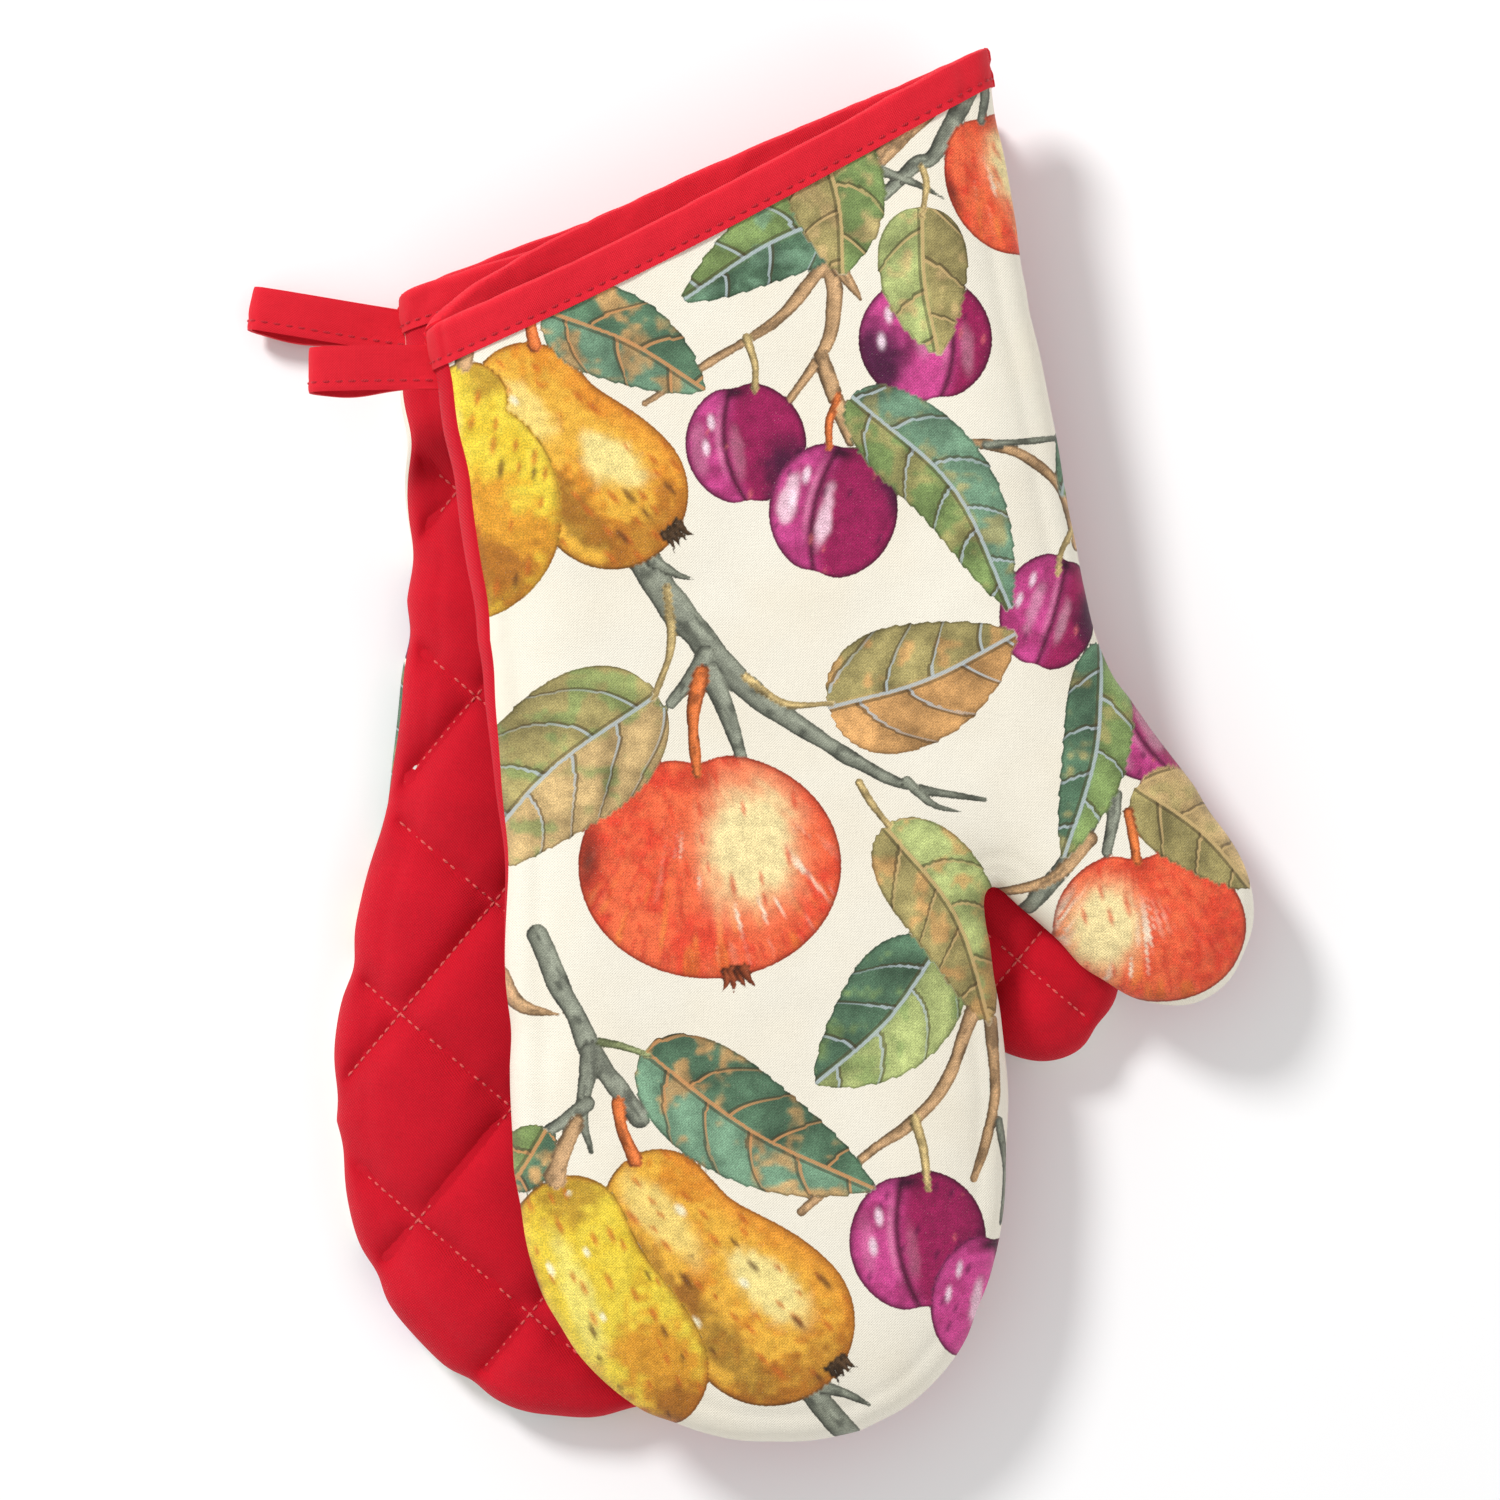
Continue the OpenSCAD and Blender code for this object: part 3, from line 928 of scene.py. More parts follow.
    def apple(self, centre, radii, stem, calyx, glow, tilt, seed):
        """glow is the middle of the pale side, within the unit circle."""
        at, p, inner, far = self.oval(centre, radii, tilt)
        if not len(at):
            return
        xy = self.xy[at]
        x, y = p.T
        stem, calyx = np.array(stem, float), np.array(calyx, float)
        axis = unit(calyx - stem)
        dip = stem + axis * 2.0
        far = far + 2.6 * bell(np.linalg.norm(xy - dip, axis=1), 0, 5.5)
        away = xy - (stem - axis * 10)
        angle = np.arctan2(away @ left_of(axis), away @ axis)
        down = away @ axis
        streak = noise(np.stack([angle * 26, down / 9], 1), 1, seed)
        thin = noise(np.stack([angle * 75, down / 6], 1), 1, seed + 1)
        wash = noise(xy, 7, seed + 2) * 0.6 + noise(xy, 1.8, seed + 3) * 0.4
        colour = mix(rgb(248, 112, 70), rgb(236, 74, 50), smoothstep(0.25, 0.8, wash))
        lower = smoothstep(0.2, -0.7, y)
        colour = mix(colour, rgb(248, 150, 66), smoothstep(0.6, 0.8, streak) * 0.5 * lower)
        colour = mix(colour, rgb(204, 44, 38), smoothstep(0.7, 0.86, thin) * 0.4)
        pale = spot(x, y, *glow, 0.46, 0.7)
        pale = pale + 0.12 * (streak - 0.5) + 0.22 * (wash - 0.5)
        colour = mix(colour, rgb(250, 164, 116), smoothstep(0.2, 0.55, pale) * 0.9)
        colour = mix(colour, rgb(251, 230, 168), smoothstep(0.42, 0.8, pale))
        rays = smoothstep(0.66, 0.82, noise(np.stack([angle * 48, down / 9], 1), 1, seed + 4))
        rim_of_glow = bell(pale, 0.4, 0.2) * smoothstep(0.5, -0.1, y)
        colour = mix(colour, rgb(254, 238, 210), rays * rim_of_glow * 0.9)
        strokes = dashes(xy, axis, 6.0, (2.4, 0.6), 0.45, seed + 5)
        colour = mix(colour, rgb(226, 70, 44), strokes * 0.7)
        side = spot(x, y, -0.93, 0.05, 0.1, 0.3)
        colour = mix(colour, rgb(72, 40, 28), side * smoothstep(0.3, 0.6, wash) * 0.8)
        low = smoothstep(0.6, 1.0, (xy - centre) @ axis / radii[1])
        colour = mix(colour, rgb(206, 84, 34), low * smoothstep(0.4, 0.7, streak) * 0.6)
        colour = mix(colour, rgb(168, 56, 34), smoothstep(0.93, 1.0, inner) * 0.7)
        hollow = bell(np.linalg.norm(xy - stem - axis * 3, axis=1), 0, 3.6)
        colour = mix(colour, rgb(196, 66, 40), hollow * 0.8)
        self.lay(at, far, colour)
        side = left_of(axis)
        for k, lean in enumerate((-0.75, -0.25, 0.3, 0.8)):
            root = calyx + side * lean * 2.6 - axis * 1.2
            self.twig([root, root + (axis + 0.3 * lean * side) * 2.6,
                       root + (axis + 0.55 * lean * side) * (5.2 - abs(lean))],
                      2.6, 0.3, rgb(150, 70, 36), seed + 10 + k)

    def pear(self, neck, neck_radius, belly, belly_radius, gold, seed):
        neck, belly = np.array(neck, float), np.array(belly, float)
        t = np.linspace(0, 1, 26)
        centres = neck + (belly - neck) * t[:, None]
        radii = neck_radius + (belly_radius - neck_radius) * smoothstep(0.22, 1.0, t)
        line = np.array([neck, belly])
        at = self.near(line, belly_radius)
        if not len(at):
            return
        xy = self.xy[at]
        gaps = np.linalg.norm(xy[:, None] - centres[None], axis=2) - radii[None]
        k = gaps.argmin(1)
        far = gaps[np.arange(len(at)), k]
        axis = unit(belly - neck)
        span = np.linalg.norm(belly - neck)
        along = (xy - neck) @ axis / span
        width = np.interp(along, t, radii)
        side = (xy - neck) @ left_of(axis) / width
        share = np.clip(-far / width, 0, 1)
        wash = noise(xy, 6, seed) * 0.55 + noise(xy, 1.7, seed + 1) * 0.45

        def patch(place, across, tall, wide, spread=0.5):
            value = spot(along, side, place, across, tall, wide)
            return smoothstep(0.25, 0.75, value + spread * (wash - 0.5))
        if gold:
            colour = mix(rgb(240, 182, 66), rgb(226, 146, 44), smoothstep(0.35, 0.75, wash))
            colour = mix(colour, rgb(238, 150, 50), smoothstep(0.5, 0.95, side) * 0.7)
            colour = mix(colour, rgb(252, 230, 148), patch(0.8, 0.3, 0.36, 0.36))
            colour = mix(colour, rgb(250, 222, 128), patch(0.05, -0.15, 0.4, 0.4) * 0.85)
            colour = mix(colour, rgb(126, 92, 38), patch(0.95, -0.6, 0.5, 0.3, 0.9) * 0.6)
            colour = mix(colour, rgb(150, 98, 40), patch(0.35, -0.85, 0.6, 0.28, 0.9) * 0.6)
            colour = mix(colour, rgb(170, 104, 36), patch(1.5, 0.0, 0.3, 0.7, 0.9) * 0.7)
        else:
            colour = mix(rgb(242, 214, 70), rgb(232, 198, 54), smoothstep(0.3, 0.75, wash))
            colour = mix(colour, rgb(250, 238, 130), patch(0.45, -0.35, 0.5, 0.3) * 0.7)
            brown = patch(1.15, 0.35, 0.6, 0.75, 0.8)
            colour = mix(colour, rgb(222, 150, 46), brown * 0.9)
            colour = mix(colour, rgb(158, 92, 34), patch(1.5, 0.3, 0.42, 0.6, 1.0) * 0.75)
            colour = mix(colour, rgb(176, 128, 44), patch(-0.25, 0.3, 0.25, 0.7, 0.9) * 0.7)
        strokes = dashes(xy, axis, 5.4, (1.9, 0.62), 0.5, seed + 5)
        colour = mix(colour, rgb(206, 106, 38), strokes * 0.75)
        strokes = dashes(xy, axis, 7.5, (2.2, 0.7), 0.45, seed + 6)
        colour = mix(colour, rgb(98, 58, 30), strokes * 0.8 * (along > 0.35))
        spark = dashes(xy, axis, 13.0, (1.7, 1.0), 0.55, seed + 7)
        colour = mix(colour, rgb(254, 248, 214), spark * (share > 0.3) * (along < 0.8) * 0.9)
        colour = mix(colour, rgb(170, 98, 32), smoothstep(0.13, 0.02, share) * 0.65)
        colour = mix(colour, rgb(98, 64, 30), smoothstep(0.06, 0.0, share) * (side < 0) * 0.6)
        self.lay(at, far, colour)
        if gold:
            across = left_of(axis)
            end = belly + axis * belly_radius * 0.93 + across * belly_radius * 0.25
            for n, lean in enumerate((-1, -0.35, 0.3, 0.9)):
                root = end + across * lean * 2.2
                self.twig([root - axis, root + axis * 1.8, root + axis * 3.4 + across * lean],
                          2.2, 0.3, rgb(86, 62, 38), seed + 10 + n)


def dashes(xy, axis, cell, size, share, seed):
    """Scattered short strokes along an axis, at most one in each cell: 1 inside one."""
    axis = np.array(axis, float)
    p = np.stack([xy @ axis, xy @ left_of(axis)], 1) / cell
    base = np.floor(p)
    result = np.zeros(len(xy))
    for i in (-1, 0, 1):
        for j in (-1, 0, 1):
            cx, cy = base[:, 0] + i, base[:, 1] + j
            middle = np.stack([cx + 0.2 + 0.6 * lattice(cx, cy, seed + 1),
                               cy + 0.2 + 0.6 * lattice(cx, cy, seed + 2)], 1)
            d = (p - middle) * cell / np.array(size)
            d = d / (0.6 + 0.6 * lattice(cx, cy, seed + 3))[:, None]
            stroke = np.exp(-((d ** 2).sum(1)) ** 2) * (lattice(cx, cy, seed) < share)
            result = np.maximum(result, stroke)
    return result


GREEN, DARK_GREEN, TEAL = (136, 160, 96), (92, 126, 98), (124, 162, 132)
LIGHT_GREEN, OLIVE, RUST = (188, 200, 128), (176, 162, 104), (220, 166, 104)
TAN, PALE, ORANGE = (214, 182, 126), (190, 202, 206), (218, 154, 98)
GREY_BARK, BROWN_BARK = rgb(134, 138, 122), rgb(190, 152, 110)
STALK, RED_STALK = rgb(206, 180, 122), rgb(222, 118, 58)

# Twigs under the fruit: points, width, tip width, colour.
TWIGS = [
    ([(-32, 206), (-25, 195), (-16, 184), (-2, 171), (18, 158), (31, 152), (48, 149)], 8.2, 1.2, 0),
    ([(-28, 203), (-22, 200), (-18, 199)], 3.6, 0.4, 0),
    ([(30, 153), (36, 148), (43, 146)], 2.8, 0.4, 0),
    ([(-16, 182), (-20, 176), (-24, 171)], 4.4, 2.4, 0),
    ([(-15, 178), (-11, 168), (-8, 159)], 4.6, 3.0, 0),
    ([(-54, 118), (-50, 108), (-45, 99), (-41, 90), (-31, 77)], 5.0, 4.6, 0),
    ([(-42, 92), (-44, 78), (-42, 69)], 5.2, 1.4, 0),
    ([(-43, 80), (-48, 76), (-54, 72)], 3.8, 2.2, 0),
    ([(-63, 108), (-58, 102), (-49, 100)], 6.0, 0.4, 1),
    ([(44, 311), (36, 296), (31, 293), (19, 281)], 4.8, 2.2, 0),
    ([(35, 307), (20, 291), (17, 282), (13, 269)], 4.6, 4.0, 1),
    ([(24, 292), (32, 289), (38, 286)], 2.6, 0.6, 0),
    ([(12, 272), (13, 261), (11, 252), (3, 240)], 4.2, 2.0, 1),
    ([(10, 250), (14, 239), (17, 231)], 3.6, 3.4, 1),
    ([(11, 271), (2, 260), (-6, 254), (-16, 248), (-30, 239)], 3.2, 1.4, 1),
    ([(14, 270), (17, 266), (19, 263)], 4.0, 1.0, 1),
    ([(38, 230), (49, 230), (58, 227), (66, 220), (70, 207)], 2.8, 2.2, 1),
    ([(48, 230), (58, 231), (66, 232)], 2.0, 1.2, 0),
    ([(46, 101), (39, 84), (31, 75), (21, 68), (6, 55)], 3.8, 2.0, 1),
    ([(50, 98), (51, 82), (49, 71), (46, 62)], 3.6, 2.0, 1),
    ([(52, 75), (54, 63), (53, 51)], 2.2, 1.2, 0),
    ([(74, 152), (69, 138), (59, 124)], 5.4, 3.6, 0),
    ([(72, 140), (64, 131), (52, 127)], 3.6, 2.4, 1),
    ([(78, 150), (77, 142), (76, 137)], 3.4, 2.6, 0),
    ([(6, 17), (12, 9), (18, 2)], 5.6, 5.0, 0),
    ([(9, 15), (16, 13), (22, 10)], 4.0, 1.0, 0),
]
APPLES = [  # centre, radii, stem, calyx, middle of the pale side, tilt
    ((-15, 134), (30, 25.7), (-18, 157), (-9, 109), (0.3, 0.18), 0),
    ((87, 120), (22.5, 18), (83, 137), (94, 95), (-0.5, -0.15), -8),
    ((53, 291), (14.5, 17.5), (47, 307), (62, 277), (0.15, 0.1), 20),
]
PEARS = [   # neck, its radius, belly, its radius, golden
    ((-56.6, 239.2), 13.5, (-37.5, 218.7), 17.4, True),
    ((-69.9, 239.4), 9.0, (-73.4, 213.6), 24.6, False),
    ((-26.5, 57), 12.6, (-1, 29.5), 19.4, True),
    ((-46.2, 51), 12.5, (-32, 19), 17.1, False),
]
PLUMS = [   # centre, radii, stem's direction, crease, violet side, bloom
    ((-7, 230), (13.8, 14), 98, -0.35, (0.5, -0.5), 0.15),
    ((13, 215), (14.7, 15.6), 78, -0.3, (0.75, 0.5), 0.95),
    ((34, 254), (15.4, 14.6), 95, 0.4, (-0.55, -0.2), 0.2),
    ((63, 192), (11.8, 13.6), 72, 0.1, (0.65, 0.1), 0.35),
    ((87, 167), (14, 14), 120, -0.3, (0.5, 0.3), 0.3),
    ((33, 48), (16, 16.4), 98, -0.3, (0.6, -0.5), 0.12),
    ((48, 34), (12, 15), 82, 0.35, (0.7, 0.4), 0.9),
]
STEMS = [   # over the fruit: points, width, tip width, colour
    ([(-17, 178), (-19, 168), (-18, 155)], 3.6, 2.2, RED_STALK),
    ([(-25, 197), (-24, 184), (-28, 172)], 2.2, 1.6, STALK),
    ([(-7, 177), (2, 171), (13, 171)], 2.0, 1.3, STALK),
    ([(19, 153), (22, 148), (26, 143)], 2.0, 1.6, STALK),
    ([(-40, 94), (-35, 93), (-29, 91)], 1.9, 1.5, rgb(150, 160, 110)),
    ([(81, 146), (82, 141), (83, 135)], 2.6, 2.0, RED_STALK),
    ([(-55, 262), (-56, 257), (-55, 252)], 2.4, 3.0, RED_STALK),
    ([(-70, 258), (-70, 253), (-71, 248)], 2.6, 4.4, BROWN_BARK),
    ([(-7, 254), (-5, 248), (-5, 242)], 2.0, 1.5, STALK),
    ([(14, 241), (12, 235), (12, 229)], 2.0, 1.6, RED_STALK),
    ([(33, 293), (34, 289), (33, 282)], 1.8, 1.4, STALK),
    ([(69, 211), (66, 206), (65, 201)], 1.8, 1.4, STALK),
    ([(48, 313), (48, 309), (47, 304)], 2.6, 2.0, GREY_BARK),
    ([(32, 76), (34, 69), (35, 60)], 2.4, 1.6, STALK),
    ([(-36, 80), (-35, 74), (-32, 67)], 2.8, 3.2, RED_STALK),
    ([(-45, 76), (-48, 70), (-50, 63)], 3.2, 5.0, BROWN_BARK),
]
LEAVES = [  # base, tip, half width, tones of the halves and blotches, veins, bend
    ((-53, 260), (-16, 242), 10.5, (DARK_GREEN, TEAL, RUST), ORANGE, 0.05),
    ((22, 285), (-22, 262), 9.5, (DARK_GREEN, GREEN, TEAL), PALE, -0.05),
    ((9, 301), (15, 268), 11.5, (GREEN, OLIVE, TAN), TAN, 0.06),
    ((33, 284), (37, 250), 10.5, (OLIVE, LIGHT_GREEN, TAN), TAN, -0.04),
    ((17, 241), (54, 192), 10.5, (TEAL, GREEN, OLIVE), PALE, 0.1),
    ((12, 170), (55, 187), 14.5, (OLIVE, RUST, RUST), PALE, -0.05),
    ((-27, 173), (-71, 131), 16.5, (TAN, OLIVE, GREEN), PALE, -0.07),
    ((38, 116), (9, 84), 13.5, (LIGHT_GREEN, DARK_GREEN, GREEN), PALE, 0.06),
    ((25, 143), (50, 97), 11.5, (LIGHT_GREEN, OLIVE, RUST), TAN, 0.09),
    ((-30, 92), (23, 60), 13.0, (DARK_GREEN, TEAL, RUST), ORANGE, -0.05),
    ((76, 185), (66, 135), 8.5, (GREEN, DARK_GREEN, OLIVE), PALE, 0.05),
    ((83, 152), (111, 128), 10.5, (TAN, OLIVE, OLIVE), TAN, 0.06),
    ((-52, 74), (-61, 58), 6.0, (DARK_GREEN, GREEN, RUST), ORANGE, 0.0),
    ((71, 240), (66, 218), 5.0, (GREEN, DARK_GREEN, TEAL), PALE, 0.05),
]


def paint(xy):
    """The orchard print: apples, pears and plums among leaves on a cream ground."""
    art = Painting(xy)
    for k, (points, width, tip, brown) in enumerate(TWIGS):
        art.twig(points, width, tip, BROWN_BARK if brown else GREY_BARK, 30 + k)
    for k, made in enumerate(APPLES):
        art.apple(*made, 60 + 20 * k)
    for k, made in enumerate(PEARS):
        art.pear(*made, 170 + 20 * k)
    for k, made in enumerate(PLUMS):
        art.plum(*made, 280 + 9 * k)
    for k, made in enumerate(LEAVES):
        art.leaf_shape(*made, 390 + k)
    for k, (points, width, tip, colour) in enumerate(STEMS):
        art.twig(points, width, tip, colour, 420 + k)
    return art


# ---------------------------------------------------------------------------- materials

class Nodes:
    """A material's node tree, built by short calls."""

    def __init__(self, name):
        self.material = bpy.data.materials.new(name)
        self.material.use_nodes = True
        self.tree = self.material.node_tree
        self.shader = self.tree.nodes["Principled BSDF"]

    def put(self, value, socket):
        if isinstance(value, bpy.types.NodeSocket):
            self.tree.links.new(value, socket)
        elif socket.type == "RGBA" and not np.isscalar(value):
            socket.default_value = (*[float(v) for v in value[:3]], 1)
        else:
            socket.default_value = value

    def node(self, kind, inputs, **settings):
        made = self.tree.nodes.new(kind)
        for key, value in settings.items():
            setattr(made, key, value)
        for key, value in inputs.items():
            self.put(value, made.inputs[key])
        return made

    def math(self, operation, a, b=0.0):
        return self.node("ShaderNodeMath", {0: a, 1: b}, operation=operation).outputs[0]

    def add(self, a, b):
        return self.math("ADD", a, b)

    def times(self, a, b):
        return self.math("MULTIPLY", a, b)

    def grey(self, value):
        return self.node("ShaderNodeCombineColor", {0: value, 1: value, 2: value}).outputs[0]

    def ramp(self, value, low, high, start=0.0, end=1.0):
        """A smooth step of value from low to high."""
        return self.node("ShaderNodeMapRange", {"Value": value, "From Min": low, "From Max": high,
                                                "To Min": start, "To Max": end},
                         interpolation_type="SMOOTHSTEP").outputs["Result"]

    def blend(self, share, a, b, kind="MIX"):
        made = self.node("ShaderNodeMix", {}, data_type="RGBA", blend_type=kind)
        self.put(share, made.inputs[0])
        self.put(a, made.inputs[6])
        self.put(b, made.inputs[7])
        return made.outputs[2]

    def noise(self, where, scale, detail=2.0, roughness=0.5):
        return self.node("ShaderNodeTexNoise", {"Vector": where, "Scale": scale, "Detail": detail,
                                                "Roughness": roughness}).outputs["Fac"]

    def attribute(self, name, output="Vector"):
        return self.node("ShaderNodeAttribute", {}, attribute_name=name).outputs[output]

    def stretch(self, where, scale):
        return self.node("ShaderNodeMapping", {"Vector": where, "Scale": scale}).outputs[0]

    def split(self, where):
        return self.node("ShaderNodeSeparateXYZ", {0: where}).outputs

    def slubs(self, where, along, across):
        """Thick and thin places of the threads that run each way."""
        scales = ((along, across, 1), (across, along, 1))
        return self.add(*(self.noise(self.stretch(where, scale), 1.0) for scale in scales))

    def weave(self, where, pitch, twill):
        """Threads over and under each other: heights of 0 to 1."""
        x, y, _ = self.split(where)
        wobble = self.noise(where, 0.11, 1.0)
        turns = 2 * math.pi / pitch
        x = self.times(x, turns)
        y = self.times(y, turns)
        sway = self.times(wobble, 9.0)
        if twill:
            wide = self.math("SINE", self.add(self.add(x, y), sway))
            thread = self.math("SINE", self.math("SUBTRACT", x, y))
            return self.add(self.add(self.times(wide, 0.3), self.times(thread, 0.14)), 0.5)
        a = self.math("SINE", self.add(x, sway))
        b = self.math("SINE", self.add(y, sway))
        over = self.times(a, b)
        return self.add(self.times(over, 0.34), 0.5)

    def finish(self, colour, height, distance, roughness, sheen, sheen_tint=(1, 1, 1)):
        s = self.shader
        bump = self.node("ShaderNodeBump", {"Height": height, "Distance": distance, "Strength": 1.0})
        self.put(colour, s.inputs["Base Color"])
        self.put(roughness, s.inputs["Roughness"])
        self.put(bump.outputs[0], s.inputs["Normal"])
        s.inputs["Sheen Weight"].default_value = sheen
        s.inputs["Sheen Roughness"].default_value = 0.45
        s.inputs["Sheen Tint"].default_value = (*sheen_tint, 1)
        s.inputs["Specular IOR Level"].default_value = 0.25
        return self.material


def plain_cloth(name, light, dark, pitch, twill, sheen, tint, mottle=0.35):
    """Cloth of one dye: threads, slubs and slow changes of tone; the hollows of the weave are darkened as
    painted shade.
    """
    n = Nodes(name)
    where = n.attribute("cloth")
    threads = n.weave(where, pitch, twill)
    slow = n.noise(where, 0.06, 3.0)
    fuzz = n.noise(where, 2.4, 3.0, 0.7)
    # Painted shade: the threads' height, which also drives the bump, makes the raised threads lighter and
    # the hollows between them darker.
    tone = n.add(n.times(threads, 0.3), n.times(slow, mottle))
    tone = n.add(tone, n.times(n.slubs(where, 0.25, 2.2), 0.16))
    tone = n.math("SUBTRACT", tone, 0.36 * mottle)
    colour = n.blend(n.ramp(tone, 0.0, 0.62), rgb(*dark), rgb(*light))
    # The fuzz, which also lifts the bump, is screened towards the lighter dye: partly paler loose fibres,
    # partly painted light on the raised fuzz.
    colour = n.blend(n.times(fuzz, 0.16), colour, rgb(*light), "SCREEN")
    height = n.add(threads, n.times(fuzz, 0.5))
    rough = n.ramp(fuzz, 0.2, 0.8, 0.72, 0.9)
    return n.finish(colour, height, 0.00022, rough, sheen, tint)


def printed_cloth(name):
    """Fine cotton with the painted print: crisp edges, a dark rim, veins and stipple."""
    n = Nodes(name)
    where = n.attribute("cloth")
    edge = n.attribute("edge", "Fac")
    ragged = n.noise(where, 1.3, 3.0, 0.6)
    edge = n.add(edge, n.times(n.math("SUBTRACT", ragged, 0.5), 0.5))
    inked = n.ramp(edge, 0.12, -0.12)
    stipple = n.noise(where, 2.6, 4.0, 0.75)
    wash = n.noise(where, 0.35, 3.0, 0.6)
    ink = n.attribute("ink", "Color")
    tone = n.ramp(stipple, 0.32, 0.68, 0.66, 1.3)
    tone = n.times(tone, n.ramp(wash, 0.3, 0.7, 0.86, 1.14))
    ink = n.blend(1.0, ink, n.grey(tone), "MULTIPLY")
    speck = n.ramp(n.noise(where, 3.1, 2.0, 0.6), 0.66, 0.74)
    ink = n.blend(n.times(speck, 0.35), ink, CREAM)
    phase, across, leafy = n.split(n.attribute("leaf"))
    beside = n.math("ABSOLUTE", across)
    vein = n.attribute("vein", "Color")
    at = n.math("SUBTRACT", n.math("FRACT", phase), 0.5)
    reach = n.ramp(beside, 13.0, 2.0, 0.3, 0.9)

    def line(value, width):
        return n.times(n.ramp(n.math("ABSOLUTE", value), width, 0.45 * width), leafy)
    ink = n.blend(n.times(line(n.add(at, 0.055), 0.045), 0.6), ink,
                  rgb(72, 56, 36))
    ink = n.blend(n.times(line(at, 0.04), n.times(reach, 0.8)), ink, vein)
    ink = n.blend(n.times(line(n.add(across, 0.85), 0.45), 0.55), ink,
                  rgb(72, 56, 36))
    ink = n.blend(n.times(line(across, 0.6), 0.75), ink, vein)
    rim = n.times(n.ramp(edge, -0.7, -0.25), 0.5)
    ink = n.blend(rim, ink, n.blend(1.0, ink, (0.32, 0.3, 0.28), "MULTIPLY"))
    ground = n.blend(n.ramp(n.noise(where, 0.04, 2.0), 0.3, 0.75), CREAM, rgb(244, 236, 217))
    colour = n.blend(inked, ground, ink)
    threads = n.weave(where, 0.62, False)
    woven = n.add(threads, n.times(n.slubs(where, 0.3, 2.6), 0.5))
    # Painted shade: the hollows of the weave, where the bump is low, darken the print and the ground.
    shade = n.ramp(woven, 0.4, 1.5, 0.9, 1.03)
    colour = n.blend(1.0, colour, n.grey(shade), "MULTIPLY")
    rough = n.ramp(stipple, 0.3, 0.7, 0.74, 0.88)
    return n.finish(colour, woven, 0.00016, rough, 0.12)


def padding_cloth(name):
    """White wadding: fine tangled fibres."""
    n = Nodes(name)
    where = n.attribute("cloth")
    fibres = n.noise(n.stretch(where, (0.4, 1.8, 1)), 1.0, 5.0, 0.75)
    tufts = n.noise(where, 0.25, 3.0, 0.6)
    # Painted shade: the same fibre noise that raises the bump paints the low places greyer and the raised
    # fibres whiter.
    colour = n.blend(n.ramp(fibres, 0.3, 0.7), rgb(214, 210, 200), rgb(246, 244, 238))
    height = n.add(fibres, tufts)
    return n.finish(colour, height, 0.0005, n.ramp(fibres, 0.3, 0.7, 0.85, 0.97), 0.3)


def thread(name, light, dark):
    """Twisted sewing thread, with its ply running round each stitch."""
    n = Nodes(name)
    where = n.attribute("cloth")
    x, y, _ = n.split(where)
    twist = n.math("SINE", n.add(n.times(x, 11.0), n.times(y, 2.0)))
    ply = n.times(twist, 0.5)
    fuzz = n.noise(where, 3.0, 3.0, 0.7)
    tone = n.add(ply, fuzz)
    # Painted shade: the grooves between the plies, where the bump is low, are painted darker and the
    # ridges lighter.
    colour = n.blend(n.ramp(tone, -0.2, 1.1), rgb(*dark), rgb(*light))
    return n.finish(colour, tone, 0.00008, n.ramp(fuzz, 0.3, 0.7, 0.5, 0.7), 0.15)


RED_CLOTH = plain_cloth("quilted_red_cotton", (222, 10, 38), (170, 0, 24), 0.7, True, 0.12,
                        (1.0, 0.3, 0.36))
RED_TAPE = plain_cloth("red_bias_tape", (238, 34, 52), (198, 8, 30), 0.6, False, 0.15,
                       (1.0, 0.4, 0.4), mottle=0.25)
LINING_CLOTH = plain_cloth("white_lining", (244, 242, 236), (216, 212, 204), 0.6, False, 0.15,
                           (1, 1, 1), mottle=0.2)
PRINTED = printed_cloth("orchard_print")
PADDING = padding_cloth("wadding")
RED_THREAD = thread("red_thread", (214, 34, 50), (160, 10, 30))
PALE_THREAD = thread("pale_red_thread", (240, 122, 112), (206, 60, 66))


# ----------------------------------------------------------------------------- building


def strip_outline(mitt):
    """The cloth of the lower face that has rolled over onto the top one, along the
    low-corner side: from the seam to the very points of the top cloth's edge."""
    cuff = mitt.cuff_line(TOP, BELOW_MOUTH["cloth"])
    seam, edge = (resample(mitt.side_between(0.0, strip), OUTLINE_STEP) for strip in (False, True))
    start, first = (crossing(line, cuff)[0][0] + 1 for line in (seam, edge))
    wide = np.nonzero((mitt.distance(edge) > 0) & (edge[:, 0] < 0))[0]
    wide = wide[wide >= first]
    loops = []
    for run in np.split(wide, np.nonzero(np.diff(wide) > 1)[0] + 1):
        a, b = (np.linalg.norm(seam - edge[i], axis=1).argmin() for i in (run[0], run[-1]))
        loops.append(np.vstack([seam[max(a - 2, start):b + 3], edge[run][::-1]]))
    return loops


def quilt_rows(mitt):
    """Each straight line of quilting across the mitt, as points, and which of them have the
    stitches' holes."""
    low, high = mitt.edge.min(0), mitt.edge.max(0)
    steps = np.arange(-560, 560)
    for family in (0, 1):
        for k in range(-14, 15):
            off = QUILT_PHASE[family] + k * QUILT_PITCH
            line = QUILT_WAYS[1 - family] * off + QUILT_WAYS[family] * (ROW_STEP * steps)[:, None]
            good = ((line > low) & (line < high)).all(1)
            if good.sum() > 8:
                yield line[good], steps[good] % 3 == 0


def quilt_points(mitt):
    """The points that the palm's mesh passes through, so that the rows stay sharp."""
    rows = np.vstack([line for line, _ in quilt_rows(mitt)])
    (a, _), (b, _) = quilt_lines(rows)
    crossing_near = (abs(a) < 0.4) & (abs(b) < 0.4)
    second = abs(b) < 1e-6
    return rows[~(crossing_near & second)]


